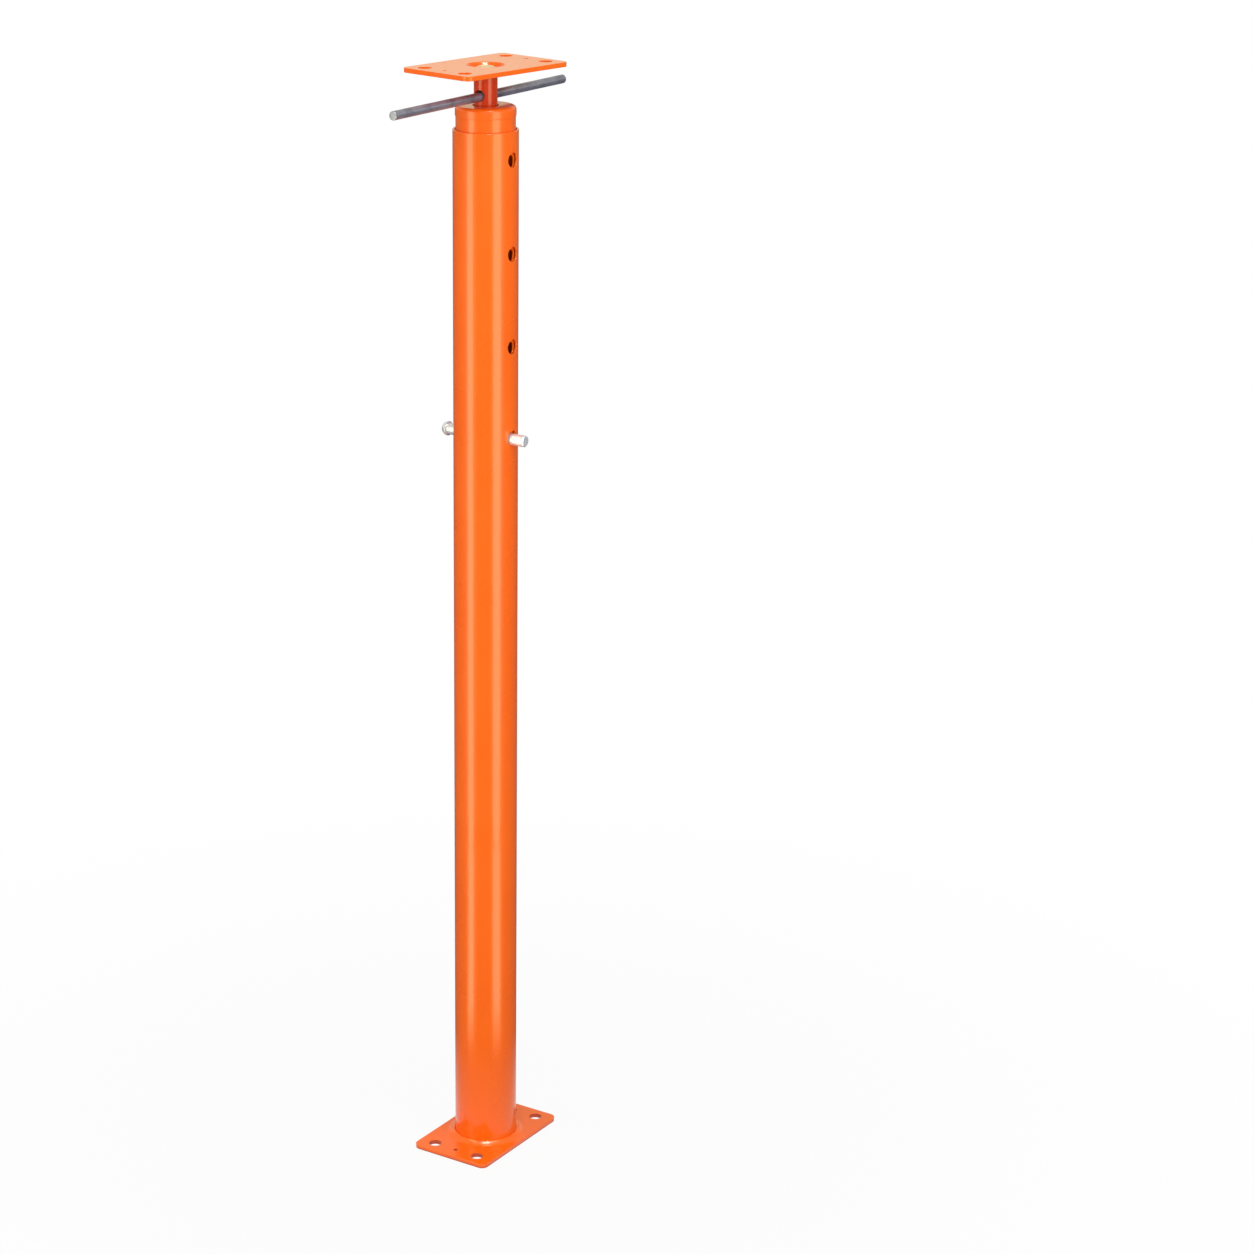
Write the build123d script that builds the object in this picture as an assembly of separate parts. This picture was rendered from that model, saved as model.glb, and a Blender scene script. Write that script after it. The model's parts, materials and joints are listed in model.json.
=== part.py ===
from build123d import *
from math import asin, ceil, cos, pi, radians, sin, sqrt, tan

# Adjustable steel jack post: two telescoping tubes, a locking pin and a jack screw between two
# bearing plates. Millimetres, +Z up. The origin is the centre of the base plate's underside,
# X runs along the base plate's long side, and the locking pin lies along Y.

# Bearing plates, one at each end, cut and drilled alike
plate_length = 152.0
plate_side_land = 3.7
plate_thickness = 5.0
plate_corner_radius = 8.0
plate_edge_radius = 0.6
bolt_hole_dia = 14.0
bolt_from_end = 15.5
bolt_from_side = 20.0
nail_hole_dia = 4.5
nail_from_end = 14.75
top_plate_turn = -10.0

# Outer tube, and the collar drawn up round its foot
outer_tube_dia = 70.0
outer_tube_wall = 2.0
outer_tube_length = 1167.0
outer_tube_lift = 1.0
collar_height = 4.0
collar_lip = 2.2
collar_lip_radius = 0.9
collar_flare_radius = 10.0
collar_draw_radius = 3.0
collar_clearance = 0.1

# Inner tube, which slides in the outer one
tube_clearance = 1.25
inner_tube_wall = 2.0
inner_tube_tail = 60.0
tube_rim_radius = 0.4

# Pin holes through both tubes, counted from the top
pin_hole_pitch = 100.0
outer_hole_play = 3.3
outer_hole_count = 4
first_outer_hole = 30.0
inner_hole_play = 1.3
inner_hole_count = 10
first_inner_hole = 46.0
holes_above_pin_count = 3

# Locking pin
pin_dia = 12.7
pin_free_overhang = 17.0
pin_head_standoff = 13.0
pin_head_lap = 1.55
pin_head_land = 1.0
pin_head_dome = 7.0
pin_end_chamfer = 1.2

# Cap on the inner tube
cap_overhang = 0.65
cap_height = 11.0
cap_top_thickness = 3.0
cap_shoulder_radius = 4.5
cap_screw_clearance = 1.5
cap_spigot_depth = 4.0
cap_spigot_wall = 3.0
cap_spigot_clearance = 0.1

# Nut under the cap, and its weld
nut_height = 28.0
nut_weld_leg = 2.5
nut_weld_clearance = 0.5

# Jack screw, right-handed
thread_dia = 24.0
thread_pitch = 6.0
thread_depth = 3.0
thread_crest_width = 2.0
thread_flank_angle = 15.0
thread_clearance = 0.25
screw_travel = 96.0
thread_spare = 8.0
screw_tip = 4.0
screw_tip_chamfer = 1.5
tenon_shoulder = 1.0
rivet_lap = 3.0
rivet_height = 2.2

# Sleeve welded on the screw's plain shank, with the cross hole for the turning bar
sleeve_dia = 25.0
sleeve_length = 34.6
sleeve_edge_radius = 0.8
sleeve_clearance = 0.05
cross_hole_play = 2.5
cross_hole_drop = 21.2

# Dish pressed into the middle of the top plate, and the washer that holds the plate on
dish_open_dia = 40.0
dish_wall_run = 3.0
dish_depth = 5.5
dish_floor_thickness = 4.5
dish_lip_radius = 1.8
dish_underside_spread = 2.7
dish_blend_width = 9.0
washer_margin = 3.0
washer_thickness = 1.6
tenon_clearance = 0.2

# Turning bar
bar_dia = 9.5
bar_length = 305.0
bar_offset = -9.0
bar_turn = -1.3
bar_end_chamfer = 0.5

# Gaps that stay open between pieces that move on each other
running_gap = 0.1
stop_gap = 0.3

# Overlap of a helical thread into its core, and whole turns that it runs past what it cuts
thread_root_bite = 0.4
spare_turns = 2

# How far a cutter reaches past what it cuts, and how near its height an edge is picked
cut_reach = 1.0
pick_reach = 0.01

# Sizes that follow from the driving ones
outer_tube_radius = outer_tube_dia / 2
inner_tube_radius = outer_tube_radius - outer_tube_wall - tube_clearance
inner_bore_radius = inner_tube_radius - inner_tube_wall
pin_radius = pin_dia / 2
pin_head_radius = pin_radius + pin_head_lap
outer_hole_dia = pin_dia + outer_hole_play
inner_hole_dia = pin_dia + inner_hole_play
collar_bore_radius = outer_tube_radius + collar_clearance
collar_lip_outer_radius = collar_bore_radius + collar_lip
collar_rise = collar_flare_radius - collar_height
flare_radius = collar_lip_outer_radius + sqrt(collar_flare_radius**2 - collar_rise**2)
plate_width = 2 * (flare_radius + plate_side_land)
bolt_spacing_long = plate_length - 2 * bolt_from_end
bolt_spacing_short = plate_width - 2 * bolt_from_side
nail_spacing = plate_length - 2 * nail_from_end
cap_radius = inner_tube_radius + cap_overhang
cap_spigot_radius = inner_bore_radius - cap_spigot_clearance
cap_cavity_radius = cap_spigot_radius - cap_spigot_wall
cap_screw_hole_radius = sleeve_dia / 2 + cap_screw_clearance
nut_weld_radius = cap_cavity_radius - nut_weld_clearance
nut_corner_radius = nut_weld_radius - nut_weld_leg
nut_flat_radius = nut_corner_radius * cos(radians(30.0))
thread_root_radius = thread_dia / 2 - thread_depth
thread_root_width = thread_crest_width + 2 * thread_depth * tan(radians(thread_flank_angle))
tenon_radius = thread_root_radius - tenon_shoulder
rivet_radius = tenon_radius + rivet_lap
cross_hole_dia = bar_dia + cross_hole_play
dish_open_radius = dish_open_dia / 2
dish_floor_radius = dish_open_radius - dish_wall_run
washer_radius = dish_floor_radius - washer_margin

# Heights, worked out from the floor up
outer_tube_top = outer_tube_lift + outer_tube_length
outer_hole_heights = [
    outer_tube_top - first_outer_hole - n * pin_hole_pitch for n in range(outer_hole_count)
]
pin_hole_height = outer_hole_heights[holes_above_pin_count]
pin_height = pin_hole_height - outer_hole_dia / 2 + pin_radius + running_gap
inner_hole_on_pin = pin_height + pin_radius + running_gap - inner_hole_dia / 2
first_inner_height = inner_hole_on_pin + holes_above_pin_count * pin_hole_pitch
inner_hole_heights = [
    first_inner_height - n * pin_hole_pitch for n in range(inner_hole_count)
]
inner_tube_top = first_inner_height + first_inner_hole
inner_tube_bottom = inner_hole_heights[-1] - inner_tube_tail
cap_top = inner_tube_top + cap_height
nut_top = cap_top - cap_top_thickness
nut_bottom = nut_top - nut_height
sleeve_bottom = nut_top + stop_gap
sleeve_top = sleeve_bottom + sleeve_length
cross_hole_height = sleeve_top - cross_hole_drop
bar_height = cross_hole_height - cross_hole_dia / 2 + bar_dia / 2 + running_gap
thread_bottom = sleeve_bottom - screw_travel - nut_height - thread_spare
screw_bottom = thread_bottom - screw_tip
dish_underside = sleeve_top + running_gap
dish_drop = dish_depth + dish_floor_thickness - plate_thickness
top_plate_underside = dish_underside + dish_drop
dish_floor = dish_underside + dish_floor_thickness
washer_underside = dish_floor + running_gap
washer_top = washer_underside + washer_thickness
rivet_underside = washer_top + running_gap


def turned(points, radius=0.0, corners=()):
    """Revolve an outline of (radius, height) points about Z, after rounding the named corners."""
    face = make_face(Polyline(*points, close=True))
    for index in corners:
        r, z = points[index]
        corner = face.vertices().sort_by_distance((r, z, 0))[0]
        face = fillet(corner, radius)
    return revolve(Plane.XZ * face, Axis.Z)


def upright_tube(outer_radius, wall, bottom, top):
    """A tube along Z with lightly rounded rims."""
    inner_radius = outer_radius - wall
    outline = [
        (inner_radius, bottom),
        (outer_radius, bottom),
        (outer_radius, top),
        (inner_radius, top),
    ]
    return turned(outline, tube_rim_radius, (0, 1, 2, 3))


def cross_holes(dia, heights, reach):
    """Straight holes along Y through both walls of a tube, one at each height."""
    return [Pos(0, 0, z) * Rot(90, 0, 0) * Cylinder(dia / 2, 2 * reach) for z in heights]


def plate_blank(centre_hole_radius):
    """A rounded plate lying on Z = 0 with its bolt holes, nail holes and a centre hole."""
    outline = RectangleRounded(plate_length, plate_width, plate_corner_radius)
    plate = extrude(outline, plate_thickness)
    rims = plate.faces().sort_by(Axis.Z)
    plate = fillet(rims[-1].edges() + rims[0].edges(), plate_edge_radius)
    holes = [Cylinder(centre_hole_radius, 3 * plate_thickness)]
    for x in (-bolt_spacing_long / 2, bolt_spacing_long / 2):
        for y in (-bolt_spacing_short / 2, bolt_spacing_short / 2):
            holes.append(Pos(x, y, 0) * Cylinder(bolt_hole_dia / 2, 3 * plate_thickness))
    for x in (-nail_spacing / 2, nail_spacing / 2):
        holes.append(Pos(x, 0, 0) * Cylinder(nail_hole_dia / 2, 3 * plate_thickness))
    return plate - holes


def helical_ridge(root_radius, crest_radius, root_width, crest_width, turns, bottom):
    """A trapezoid carried up a right-hand helix, from a start on the X axis at the bottom."""
    path = Helix(pitch=thread_pitch, height=turns * thread_pitch, radius=root_radius)
    outline = Polyline(
        (root_radius, -root_width / 2),
        (crest_radius, -crest_width / 2),
        (crest_radius, crest_width / 2),
        (root_radius, root_width / 2),
        close=True,
    )
    section = Plane.XZ * make_face(outline)
    return Pos(0, 0, bottom) * sweep(section, path=path, is_frenet=True)


def base_plate():
    """The lower plate: a collar is drawn up round the tube's foot, hollow from below."""
    collar_top = plate_thickness + collar_height
    blank = plate_blank(flare_radius)
    ring = turned(
        [
            (collar_bore_radius, 0.0),
            (flare_radius, 0.0),
            (flare_radius, plate_thickness),
            (flare_radius, collar_top),
            (collar_bore_radius, collar_top),
        ]
    )
    flare = Pos(0, 0, plate_thickness + collar_flare_radius) * Torus(
        flare_radius, collar_flare_radius
    )
    ring = ring - flare
    lip_edges = ring.edges().filter_by_position(Axis.Z, collar_top - pick_reach, collar_top + pick_reach)
    ring = fillet(lip_edges, collar_lip_radius)
    draw_ring = Torus(collar_bore_radius + collar_draw_radius, collar_draw_radius)
    corner = turned(
        [
            (collar_bore_radius - cut_reach, -cut_reach),
            (collar_bore_radius + collar_draw_radius, -cut_reach),
            (collar_bore_radius + collar_draw_radius, collar_draw_radius),
            (collar_bore_radius - cut_reach, collar_draw_radius),
        ]
    )
    ring = ring - (corner - Pos(0, 0, collar_draw_radius) * draw_ring)
    return blank + ring


def foot_weld(plate):
    """The weld that fills the collar's draw radius from below and holds the tube's foot."""
    reach = collar_bore_radius + collar_draw_radius
    bead = turned(
        [
            (outer_tube_radius, outer_tube_lift),
            (reach, outer_tube_lift),
            (reach, collar_draw_radius),
            (outer_tube_radius, collar_draw_radius),
        ]
    )
    return bead - plate


def outer_tube():
    """The lower tube with its four pin holes."""
    tube = upright_tube(outer_tube_radius, outer_tube_wall, outer_tube_lift, outer_tube_top)
    return tube - cross_holes(outer_hole_dia, outer_hole_heights, outer_tube_dia)


def inner_tube():
    """The upper tube, which hangs on the pin by the hole that the pin is through."""
    tube = upright_tube(inner_tube_radius, inner_tube_wall, inner_tube_bottom, inner_tube_top)
    return tube - cross_holes(inner_hole_dia, inner_hole_heights, outer_tube_dia)


def tube_cap():
    """The cap: its rim stands on the tube's end and its spigot drops inside."""
    return turned(
        [
            (cap_cavity_radius, inner_tube_top - cap_spigot_depth),
            (cap_spigot_radius, inner_tube_top - cap_spigot_depth),
            (cap_spigot_radius, inner_tube_top),
            (cap_radius, inner_tube_top),
            (cap_radius, cap_top),
            (cap_screw_hole_radius, cap_top),
            (cap_screw_hole_radius, nut_top),
            (cap_cavity_radius, nut_top),
        ],
        cap_shoulder_radius,
        (4,),
    )


def nut_blank():
    """The hexagonal nut before it is tapped."""
    hexagon = RegularPolygon(nut_corner_radius, 6)
    return Pos(0, 0, nut_bottom) * extrude(hexagon, nut_height)


def screw_nut():
    """The hexagonal nut under the cap, tapped with a thread that clears the screw all round."""
    slope = tan(radians(thread_flank_angle))
    widening = 2 * thread_clearance / cos(radians(thread_flank_angle))
    root_growth = 2 * (thread_root_bite + thread_clearance) * slope
    crest_loss = 2 * thread_clearance * slope
    turns_below = int((nut_bottom - thread_bottom) // thread_pitch) - spare_turns
    groove = helical_ridge(
        thread_root_radius - thread_root_bite,
        thread_dia / 2 + thread_clearance,
        thread_root_width + root_growth + widening,
        thread_crest_width - crest_loss + widening,
        ceil(nut_height / thread_pitch) + 2 * spare_turns,
        thread_bottom + turns_below * thread_pitch,
    )
    bore = Cylinder(thread_root_radius + thread_clearance, 2 * nut_height)
    tap = Pos(0, 0, nut_bottom + nut_height / 2) * bore + groove
    return nut_blank() - tap


def nut_weld():
    """The fillet weld between the nut's flats and the cap's underside."""
    bead = turned(
        [
            (nut_flat_radius - nut_weld_leg, nut_top),
            (nut_flat_radius - nut_weld_leg, nut_top - 2 * nut_weld_leg),
            (nut_weld_radius, nut_top),
        ]
    )
    return bead - nut_blank()


def jack_screw():
    """The screw: thread, plain shank with the cross hole, and tenon peened over the washer."""
    bite_radius = thread_root_radius - thread_root_bite
    bite_width = 2 * thread_root_bite * tan(radians(thread_flank_angle))
    thread_length = sleeve_bottom - thread_bottom
    ridge = helical_ridge(
        bite_radius,
        thread_dia / 2,
        thread_root_width + bite_width,
        thread_crest_width,
        ceil(thread_length / thread_pitch) + spare_turns,
        thread_bottom,
    )
    keep = Pos(0, 0, thread_bottom + thread_length / 2) * Cylinder(thread_dia, thread_length)
    core = turned(
        [
            (0.0, screw_bottom),
            (thread_root_radius - screw_tip_chamfer, screw_bottom),
            (thread_root_radius, screw_bottom + screw_tip_chamfer),
            (thread_root_radius, sleeve_top),
            (tenon_radius, sleeve_top),
            (tenon_radius, rivet_underside),
            (rivet_radius, rivet_underside),
            (rivet_radius, rivet_underside + rivet_height / 3),
            (tenon_radius, rivet_underside + rivet_height),
            (0.0, rivet_underside + rivet_height),
        ]
    )
    return core + (ridge & keep) - cross_hole_tool()


def cross_hole_tool():
    """The cross hole for the turning bar, through the sleeve and the shank inside it."""
    return Pos(0, 0, cross_hole_height) * Rot(0, 0, bar_turn) * Rot(0, 90, 0) * Cylinder(
        cross_hole_dia / 2, 2 * sleeve_dia
    )


def screw_sleeve():
    """The turned sleeve round the shank, under the top plate."""
    sleeve = turned(
        [
            (thread_root_radius + sleeve_clearance, sleeve_bottom),
            (sleeve_dia / 2, sleeve_bottom),
            (sleeve_dia / 2, sleeve_top),
            (thread_root_radius + sleeve_clearance, sleeve_top),
        ],
        sleeve_edge_radius,
        (1,),
    )
    return sleeve - cross_hole_tool()


def turning_bar():
    """The loose bar that lies in the cross hole."""
    bar = Cylinder(bar_dia / 2, bar_length)
    bar = chamfer(bar.edges().filter_by(GeomType.CIRCLE), bar_end_chamfer)
    return Pos(0, 0, bar_height) * Rot(0, 0, bar_turn) * Pos(bar_offset, 0, 0) * Rot(0, 90, 0) * bar


def retaining_washer():
    """The washer under the peened tenon, in the dish."""
    return turned(
        [
            (tenon_radius + tenon_clearance, washer_underside),
            (washer_radius, washer_underside),
            (washer_radius, washer_top),
            (tenon_radius + tenon_clearance, washer_top),
        ]
    )


def top_plate():
    """The upper plate: a dish is pressed down in its middle and turns on the screw's tenon."""
    zone_radius = dish_open_radius + dish_blend_width
    bore_radius = tenon_radius + tenon_clearance
    dish = turned(
        [
            (bore_radius, plate_thickness - dish_depth),
            (dish_floor_radius, plate_thickness - dish_depth),
            (dish_open_radius, plate_thickness),
            (zone_radius, plate_thickness),
            (zone_radius, 0.0),
            (dish_open_radius + dish_underside_spread, 0.0),
            (dish_floor_radius + dish_underside_spread, -dish_drop),
            (bore_radius, -dish_drop),
        ],
        dish_lip_radius,
        (2, 5, 6),
    )
    return Pos(0, 0, top_plate_underside) * Rot(0, 0, top_plate_turn) * (
        plate_blank(zone_radius) + dish
    )


def locking_pin():
    """The pin: a chamfered free end toward -Y, and a domed head toward +Y."""
    free_end = -outer_tube_radius - pin_free_overhang
    head_seat = outer_tube_radius + pin_head_standoff
    shoulder = head_seat + pin_head_land
    apex = shoulder + pin_head_dome
    dome_radius = (pin_head_radius**2 + pin_head_dome**2) / (2 * pin_head_dome)
    dome_half_angle = asin(pin_head_radius / dome_radius)
    if pin_head_dome > pin_head_radius:
        dome_half_angle = pi - dome_half_angle
    dome_mid = (
        dome_radius * sin(dome_half_angle / 2),
        apex - dome_radius + dome_radius * cos(dome_half_angle / 2),
    )
    side = Polyline(
        (0.0, free_end),
        (pin_radius - pin_end_chamfer, free_end),
        (pin_radius, free_end + pin_end_chamfer),
        (pin_radius, head_seat),
        (pin_head_radius, head_seat),
        (pin_head_radius, shoulder),
    )
    dome = ThreePointArc((pin_head_radius, shoulder), dome_mid, (0.0, apex))
    back = Line((0.0, apex), (0.0, free_end))
    face = Plane.XZ * make_face([side, dome, back])
    return Pos(0, 0, pin_height) * Rot(-90, 0, 0) * revolve(face, Axis.Z)


base = base_plate()
pieces = {
    "base_plate": base,
    "outer_tube": outer_tube(),
    "foot_weld": foot_weld(base),
    "inner_tube": inner_tube(),
    "tube_cap": tube_cap(),
    "screw_nut": screw_nut(),
    "nut_weld": nut_weld(),
    "jack_screw": jack_screw(),
    "screw_sleeve": screw_sleeve(),
    "turning_bar": turning_bar(),
    "retaining_washer": retaining_washer(),
    "top_plate": top_plate(),
    "locking_pin": locking_pin(),
}
for name, piece in pieces.items():
    export_step(piece, f"parts/{name}.step")

print(f"closed height {top_plate_underside + plate_thickness:.1f} mm")
print(f"screw rises {thread_pitch:.1f} mm a turn, {screw_travel:.0f} mm in all")
print(f"pin at {pin_height:.2f} mm, bar at {bar_height:.2f} mm")
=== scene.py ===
import json

import bpy
import numpy as np
from bpy.props import FloatProperty, FloatVectorProperty, IntProperty, PointerProperty
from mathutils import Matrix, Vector


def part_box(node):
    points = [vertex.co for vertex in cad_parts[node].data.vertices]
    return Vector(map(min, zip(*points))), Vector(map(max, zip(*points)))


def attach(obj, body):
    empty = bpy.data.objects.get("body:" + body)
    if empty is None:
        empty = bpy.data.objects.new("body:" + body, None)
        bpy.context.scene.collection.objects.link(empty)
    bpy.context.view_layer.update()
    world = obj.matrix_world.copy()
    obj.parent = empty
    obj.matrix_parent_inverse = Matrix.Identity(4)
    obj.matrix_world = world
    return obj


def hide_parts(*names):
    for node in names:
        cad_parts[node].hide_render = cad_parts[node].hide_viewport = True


bl_info = {
    "name": "Adjustable jack post",
    "version": (1, 0, 0),
    "blender": (4, 5, 0),
    "location": "3D View > Sidebar > Jack post",
    "description": "Builds a telescoping steel jack post, its finishes and a plain studio",
    "category": "Add Mesh",
}

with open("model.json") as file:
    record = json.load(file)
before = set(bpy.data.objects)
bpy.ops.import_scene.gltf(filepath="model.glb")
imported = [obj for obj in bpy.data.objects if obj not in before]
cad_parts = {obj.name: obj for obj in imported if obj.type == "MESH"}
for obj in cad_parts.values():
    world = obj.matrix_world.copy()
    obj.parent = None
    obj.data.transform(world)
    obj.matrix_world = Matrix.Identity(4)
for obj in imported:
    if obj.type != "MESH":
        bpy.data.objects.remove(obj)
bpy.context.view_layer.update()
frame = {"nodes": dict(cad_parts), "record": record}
record = frame["record"]
mounts = {mount["name"]: mount for mount in record["mounts"]}
joints = {joint["name"]: joint for joint in record["behaviour"]["joints"]}

MM = 0.001
UP = (0.0, 0.0, 1.0)
WHITE = (1.0, 1.0, 1.0)

# Columns round a turned shape, and half the width of the square cell round a hole, in radii of
# the hole, in a tube and in a shank.
STEPS_PER_TURN = 72
TUBE_CELL = 1.5
SHANK_CELL = 1.25

# In metres: the grid that joins points and its offset in cells, and how near two radii, two
# lines of a plate, or a line and a border count as the same.
WELD_GRID = 4e-7
WELD_OFFSET = 0.31830989
SAME_PLACE = 1e-9
SAME_LINE = 2e-6
ON_BORDER = 1e-6

# Each upright lamp: name, angle from the camera in degrees, width, distance from the post's axis,
# height of its middle, length, share of the strip lamps' brightness, and whether it lights matt
# surfaces or only shows in gloss.
STRIPS = (
    ("side_left", -66.0, 0.7, 0.98, 0.75, 1.4, 0.5, True),
    ("side_right", 50.0, 0.7, 0.98, 0.95, 1.5, 0.52, True),
    ("glow_left", -54.0, 0.72, 0.99, 1.0, 2.0, 0.35, False),
    ("glow_right", 41.0, 0.8, 0.99, 1.0, 2.0, 0.35, False),
    ("band_left", -55.0, 0.36, 0.95, 1.0, 2.0, 1.25, False),
    ("band_right", 40.0, 0.46, 0.95, 1.0, 2.0, 1.2, False),
)
STRIP_TINT = (1.0, 0.97, 0.58)


def length_property(name, description, size):
    """A length setting, with its default in millimetres."""
    return FloatProperty(name=name, description=description, default=size * MM, unit="LENGTH")


def angle_property(name, description, angle):
    """An angle setting, with its default in radians."""
    return FloatProperty(name=name, description=description, default=angle, subtype="ANGLE")


def level_property(name, description, level):
    """A brightness setting, which can't be negative."""
    return FloatProperty(name=name, description=description, default=level, min=0.0)


def colour_property(name, description, colour):
    """A colour setting, in linear values."""
    return FloatVectorProperty(
        name=name, description=description, default=colour, subtype="COLOR", size=3,
        min=0.0, max=1.0,
    )


def radius_of(node):
    """Half the width of a turned CAD node."""
    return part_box(node)[1].x


def bottom_of(node):
    """Height of a CAD node's lowest point."""
    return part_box(node)[0].z


def top_of(node):
    """Height of a CAD node's highest point."""
    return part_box(node)[1].z


class PostSizes(bpy.types.PropertyGroup):
    """Sizes of the tubes, their pin holes, the pin and the bar."""

    tube_wall: length_property("Tube wall", "Thickness of both tubes' walls", 2.0)
    tube_rim: length_property("Tube rim", "Rounding of the tubes' ends", 0.45)
    hole_pitch: length_property("Pin hole pitch", "Distance from one pin hole to the next", 100.0)
    outer_hole_radius: length_property(
        "Outer pin hole radius", "Radius of the pin holes in the outer tube", 8.0
    )
    outer_hole_drop: length_property(
        "First outer pin hole", "Depth of the outer tube's first pin hole below its top", 30.0
    )
    outer_hole_count: IntProperty(
        name="Outer pin holes",
        description="Number of pin holes in each side of the outer tube",
        default=4,
        min=1,
    )
    inner_hole_radius: length_property(
        "Inner pin hole radius", "Radius of the pin holes in the inner tube", 7.0
    )
    inner_hole_drop: length_property(
        "First inner pin hole", "Depth of the inner tube's first pin hole below its top", 46.0
    )
    inner_hole_count: IntProperty(
        name="Inner pin holes",
        description="Number of pin holes in each side of the inner tube",
        default=10,
        min=1,
    )
    hole_rim: length_property(
        "Pin hole rim", "Rounding of the pin holes' edges under the paint", 0.45
    )
    pin_radius: length_property("Pin radius", "Radius of the locking pin's shank", 6.35)
    pin_head_land: length_property(
        "Pin head land", "Straight height of the pin's head under its dome", 1.0
    )
    pin_head_dome: length_property("Pin head dome", "Height of the dome on the pin's head", 7.0)
    pin_chamfer: length_property("Pin end chamfer", "Chamfer on the pin's free end", 1.2)
    bar_radius: length_property("Bar radius", "Radius of the turning bar", 4.75)
    bar_length: length_property("Bar length", "Length of the turning bar", 305.0)
    bar_offset: length_property(
        "Bar offset", "How far the bar's middle lies from the screw's axis at rest", -9.0
    )


class PlateSizes(bpy.types.PropertyGroup):
    """Sizes of the two bearing plates."""

    thickness: length_property("Thickness", "Thickness of both plates", 5.0)
    corner_radius: length_property(
        "Corner radius", "Radius of the plates' corners seen from above", 8.0
    )
    edge_radius: length_property(
        "Edge radius", "Rounding of the plates' edges under the paint", 0.5
    )
    hole_edge: length_property("Hole edge", "Rounding of the bolt and nail holes' edges", 0.35)
    collar_height: length_property(
        "Collar height", "Height of the collar round the tube's foot above the plate", 4.0
    )
    collar_lip: length_property("Collar lip", "Width of the collar's top", 2.2)
    collar_lip_radius: length_property(
        "Collar lip radius", "Rounding of the collar's top edges", 0.9
    )
    collar_flare_radius: length_property(
        "Collar flare radius", "Radius of the sweep from the plate up into the collar", 10.0
    )
    collar_draw_radius: length_property(
        "Collar draw radius", "Radius under the plate where the collar is drawn up", 3.0
    )
    collar_clearance: length_property(
        "Collar clearance", "Gap between the collar and the tube", 0.1
    )
    dish_open_radius: length_property(
        "Dish opening radius", "Radius of the dish at the plate's top face", 20.0
    )
    dish_floor_radius: length_property("Dish floor radius", "Radius of the dish's flat floor", 17.0)
    dish_depth: length_property("Dish depth", "Depth of the dish below the plate's top face", 5.5)
    dish_lip_radius: length_property("Dish lip radius", "Rounding of the dish's lip", 1.8)
    dish_spread: length_property(
        "Dish underside spread", "How much wider the dish is below than above", 2.7
    )


class ScrewSizes(bpy.types.PropertyGroup):
    """Sizes of the screw, its sleeve, the cap and the washer."""

    pitch: length_property("Thread pitch", "Rise of the thread in one turn", 6.0)
    thread_depth: length_property("Thread depth", "Height of the thread above its root", 3.0)
    crest_width: length_property("Crest width", "Width of the thread's flat crest", 2.0)
    flank_angle: angle_property("Flank angle", "Slope of the thread's flanks", 0.2617994)
    thread_corner: length_property("Thread corner", "Rounding of the thread's edges", 0.25)
    runout: length_property("Run-out", "Length over which the thread fades out at each end", 3.5)
    tip: length_property("Tip", "Plain length below the thread", 4.0)
    tip_chamfer: length_property("Tip chamfer", "Chamfer on the screw's lower end", 1.5)
    tenon_radius: length_property(
        "Tenon radius", "Radius of the tenon that the top plate turns on", 8.0
    )
    rivet_radius: length_property("Peened head radius", "Radius of the tenon's peened head", 11.0)
    rivet_height: length_property("Peened head height", "Height of the tenon's peened head", 2.2)
    cross_hole_radius: length_property(
        "Cross hole radius", "Radius of the hole for the turning bar", 6.0
    )
    cross_hole_drop: length_property(
        "Cross hole drop", "Depth of the cross hole below the sleeve's top", 21.2
    )
    cross_hole_rim: length_property("Cross hole rim", "Rounding of the cross hole's edge", 0.4)
    fit_gap: length_property("Fit gap", "Gap between the sleeve and the shank inside it", 0.05)
    cap_top_thickness: length_property(
        "Cap top thickness", "Thickness of the cap's top round the screw", 3.0
    )
    cap_shoulder: length_property("Cap shoulder", "Rounding of the cap's shoulder", 4.5)
    cap_hole_radius: length_property(
        "Cap hole radius", "Radius of the hole in the cap round the screw", 14.0
    )
    cap_spigot_wall: length_property("Cap spigot wall", "Wall of the cap's spigot", 3.0)
    tenon_clearance: length_property(
        "Tenon clearance", "Gap between the tenon and the parts that turn on it", 0.2
    )


class PostColours(bpy.types.PropertyGroup):
    """Colours of the post's finishes, as linear values."""

    orange: colour_property("Powder coat", "Colour of the orange powder coat", (0.95, 0.138, 0.002))
    orange_deep: colour_property(
        "Powder coat, thin", "Colour of the powder coat where it lies thinner", (0.92, 0.124, 0.002)
    )
    # Painted shade: this darker coat colour stands for the shade in the base plate's holes and
    # along its lower edge.
    thin_coat: colour_property(
        "Powder coat, worn",
        "Colour of the coat in the base plate's holes and along its lower edge",
        (0.55, 0.06, 0.004),
    )
    sleeve: colour_property(
        "Sleeve coat", "Colour of the darker coat on the screw's sleeve", (0.62, 0.042, 0.004)
    )
    zinc: colour_property(
        "Zinc plate", "Colour of the zinc on the screw and washer", (0.93, 0.73, 0.48)
    )
    pin: colour_property("Pin", "Colour of the bright locking pin", (0.8, 0.83, 0.94))
    bar: colour_property("Turning bar", "Colour of the drawn steel bar", (0.27, 0.275, 0.375))
    steel: colour_property(
        "Plain steel", "Colour of the oiled steel inside the tubes", (0.26, 0.25, 0.235)
    )


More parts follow.
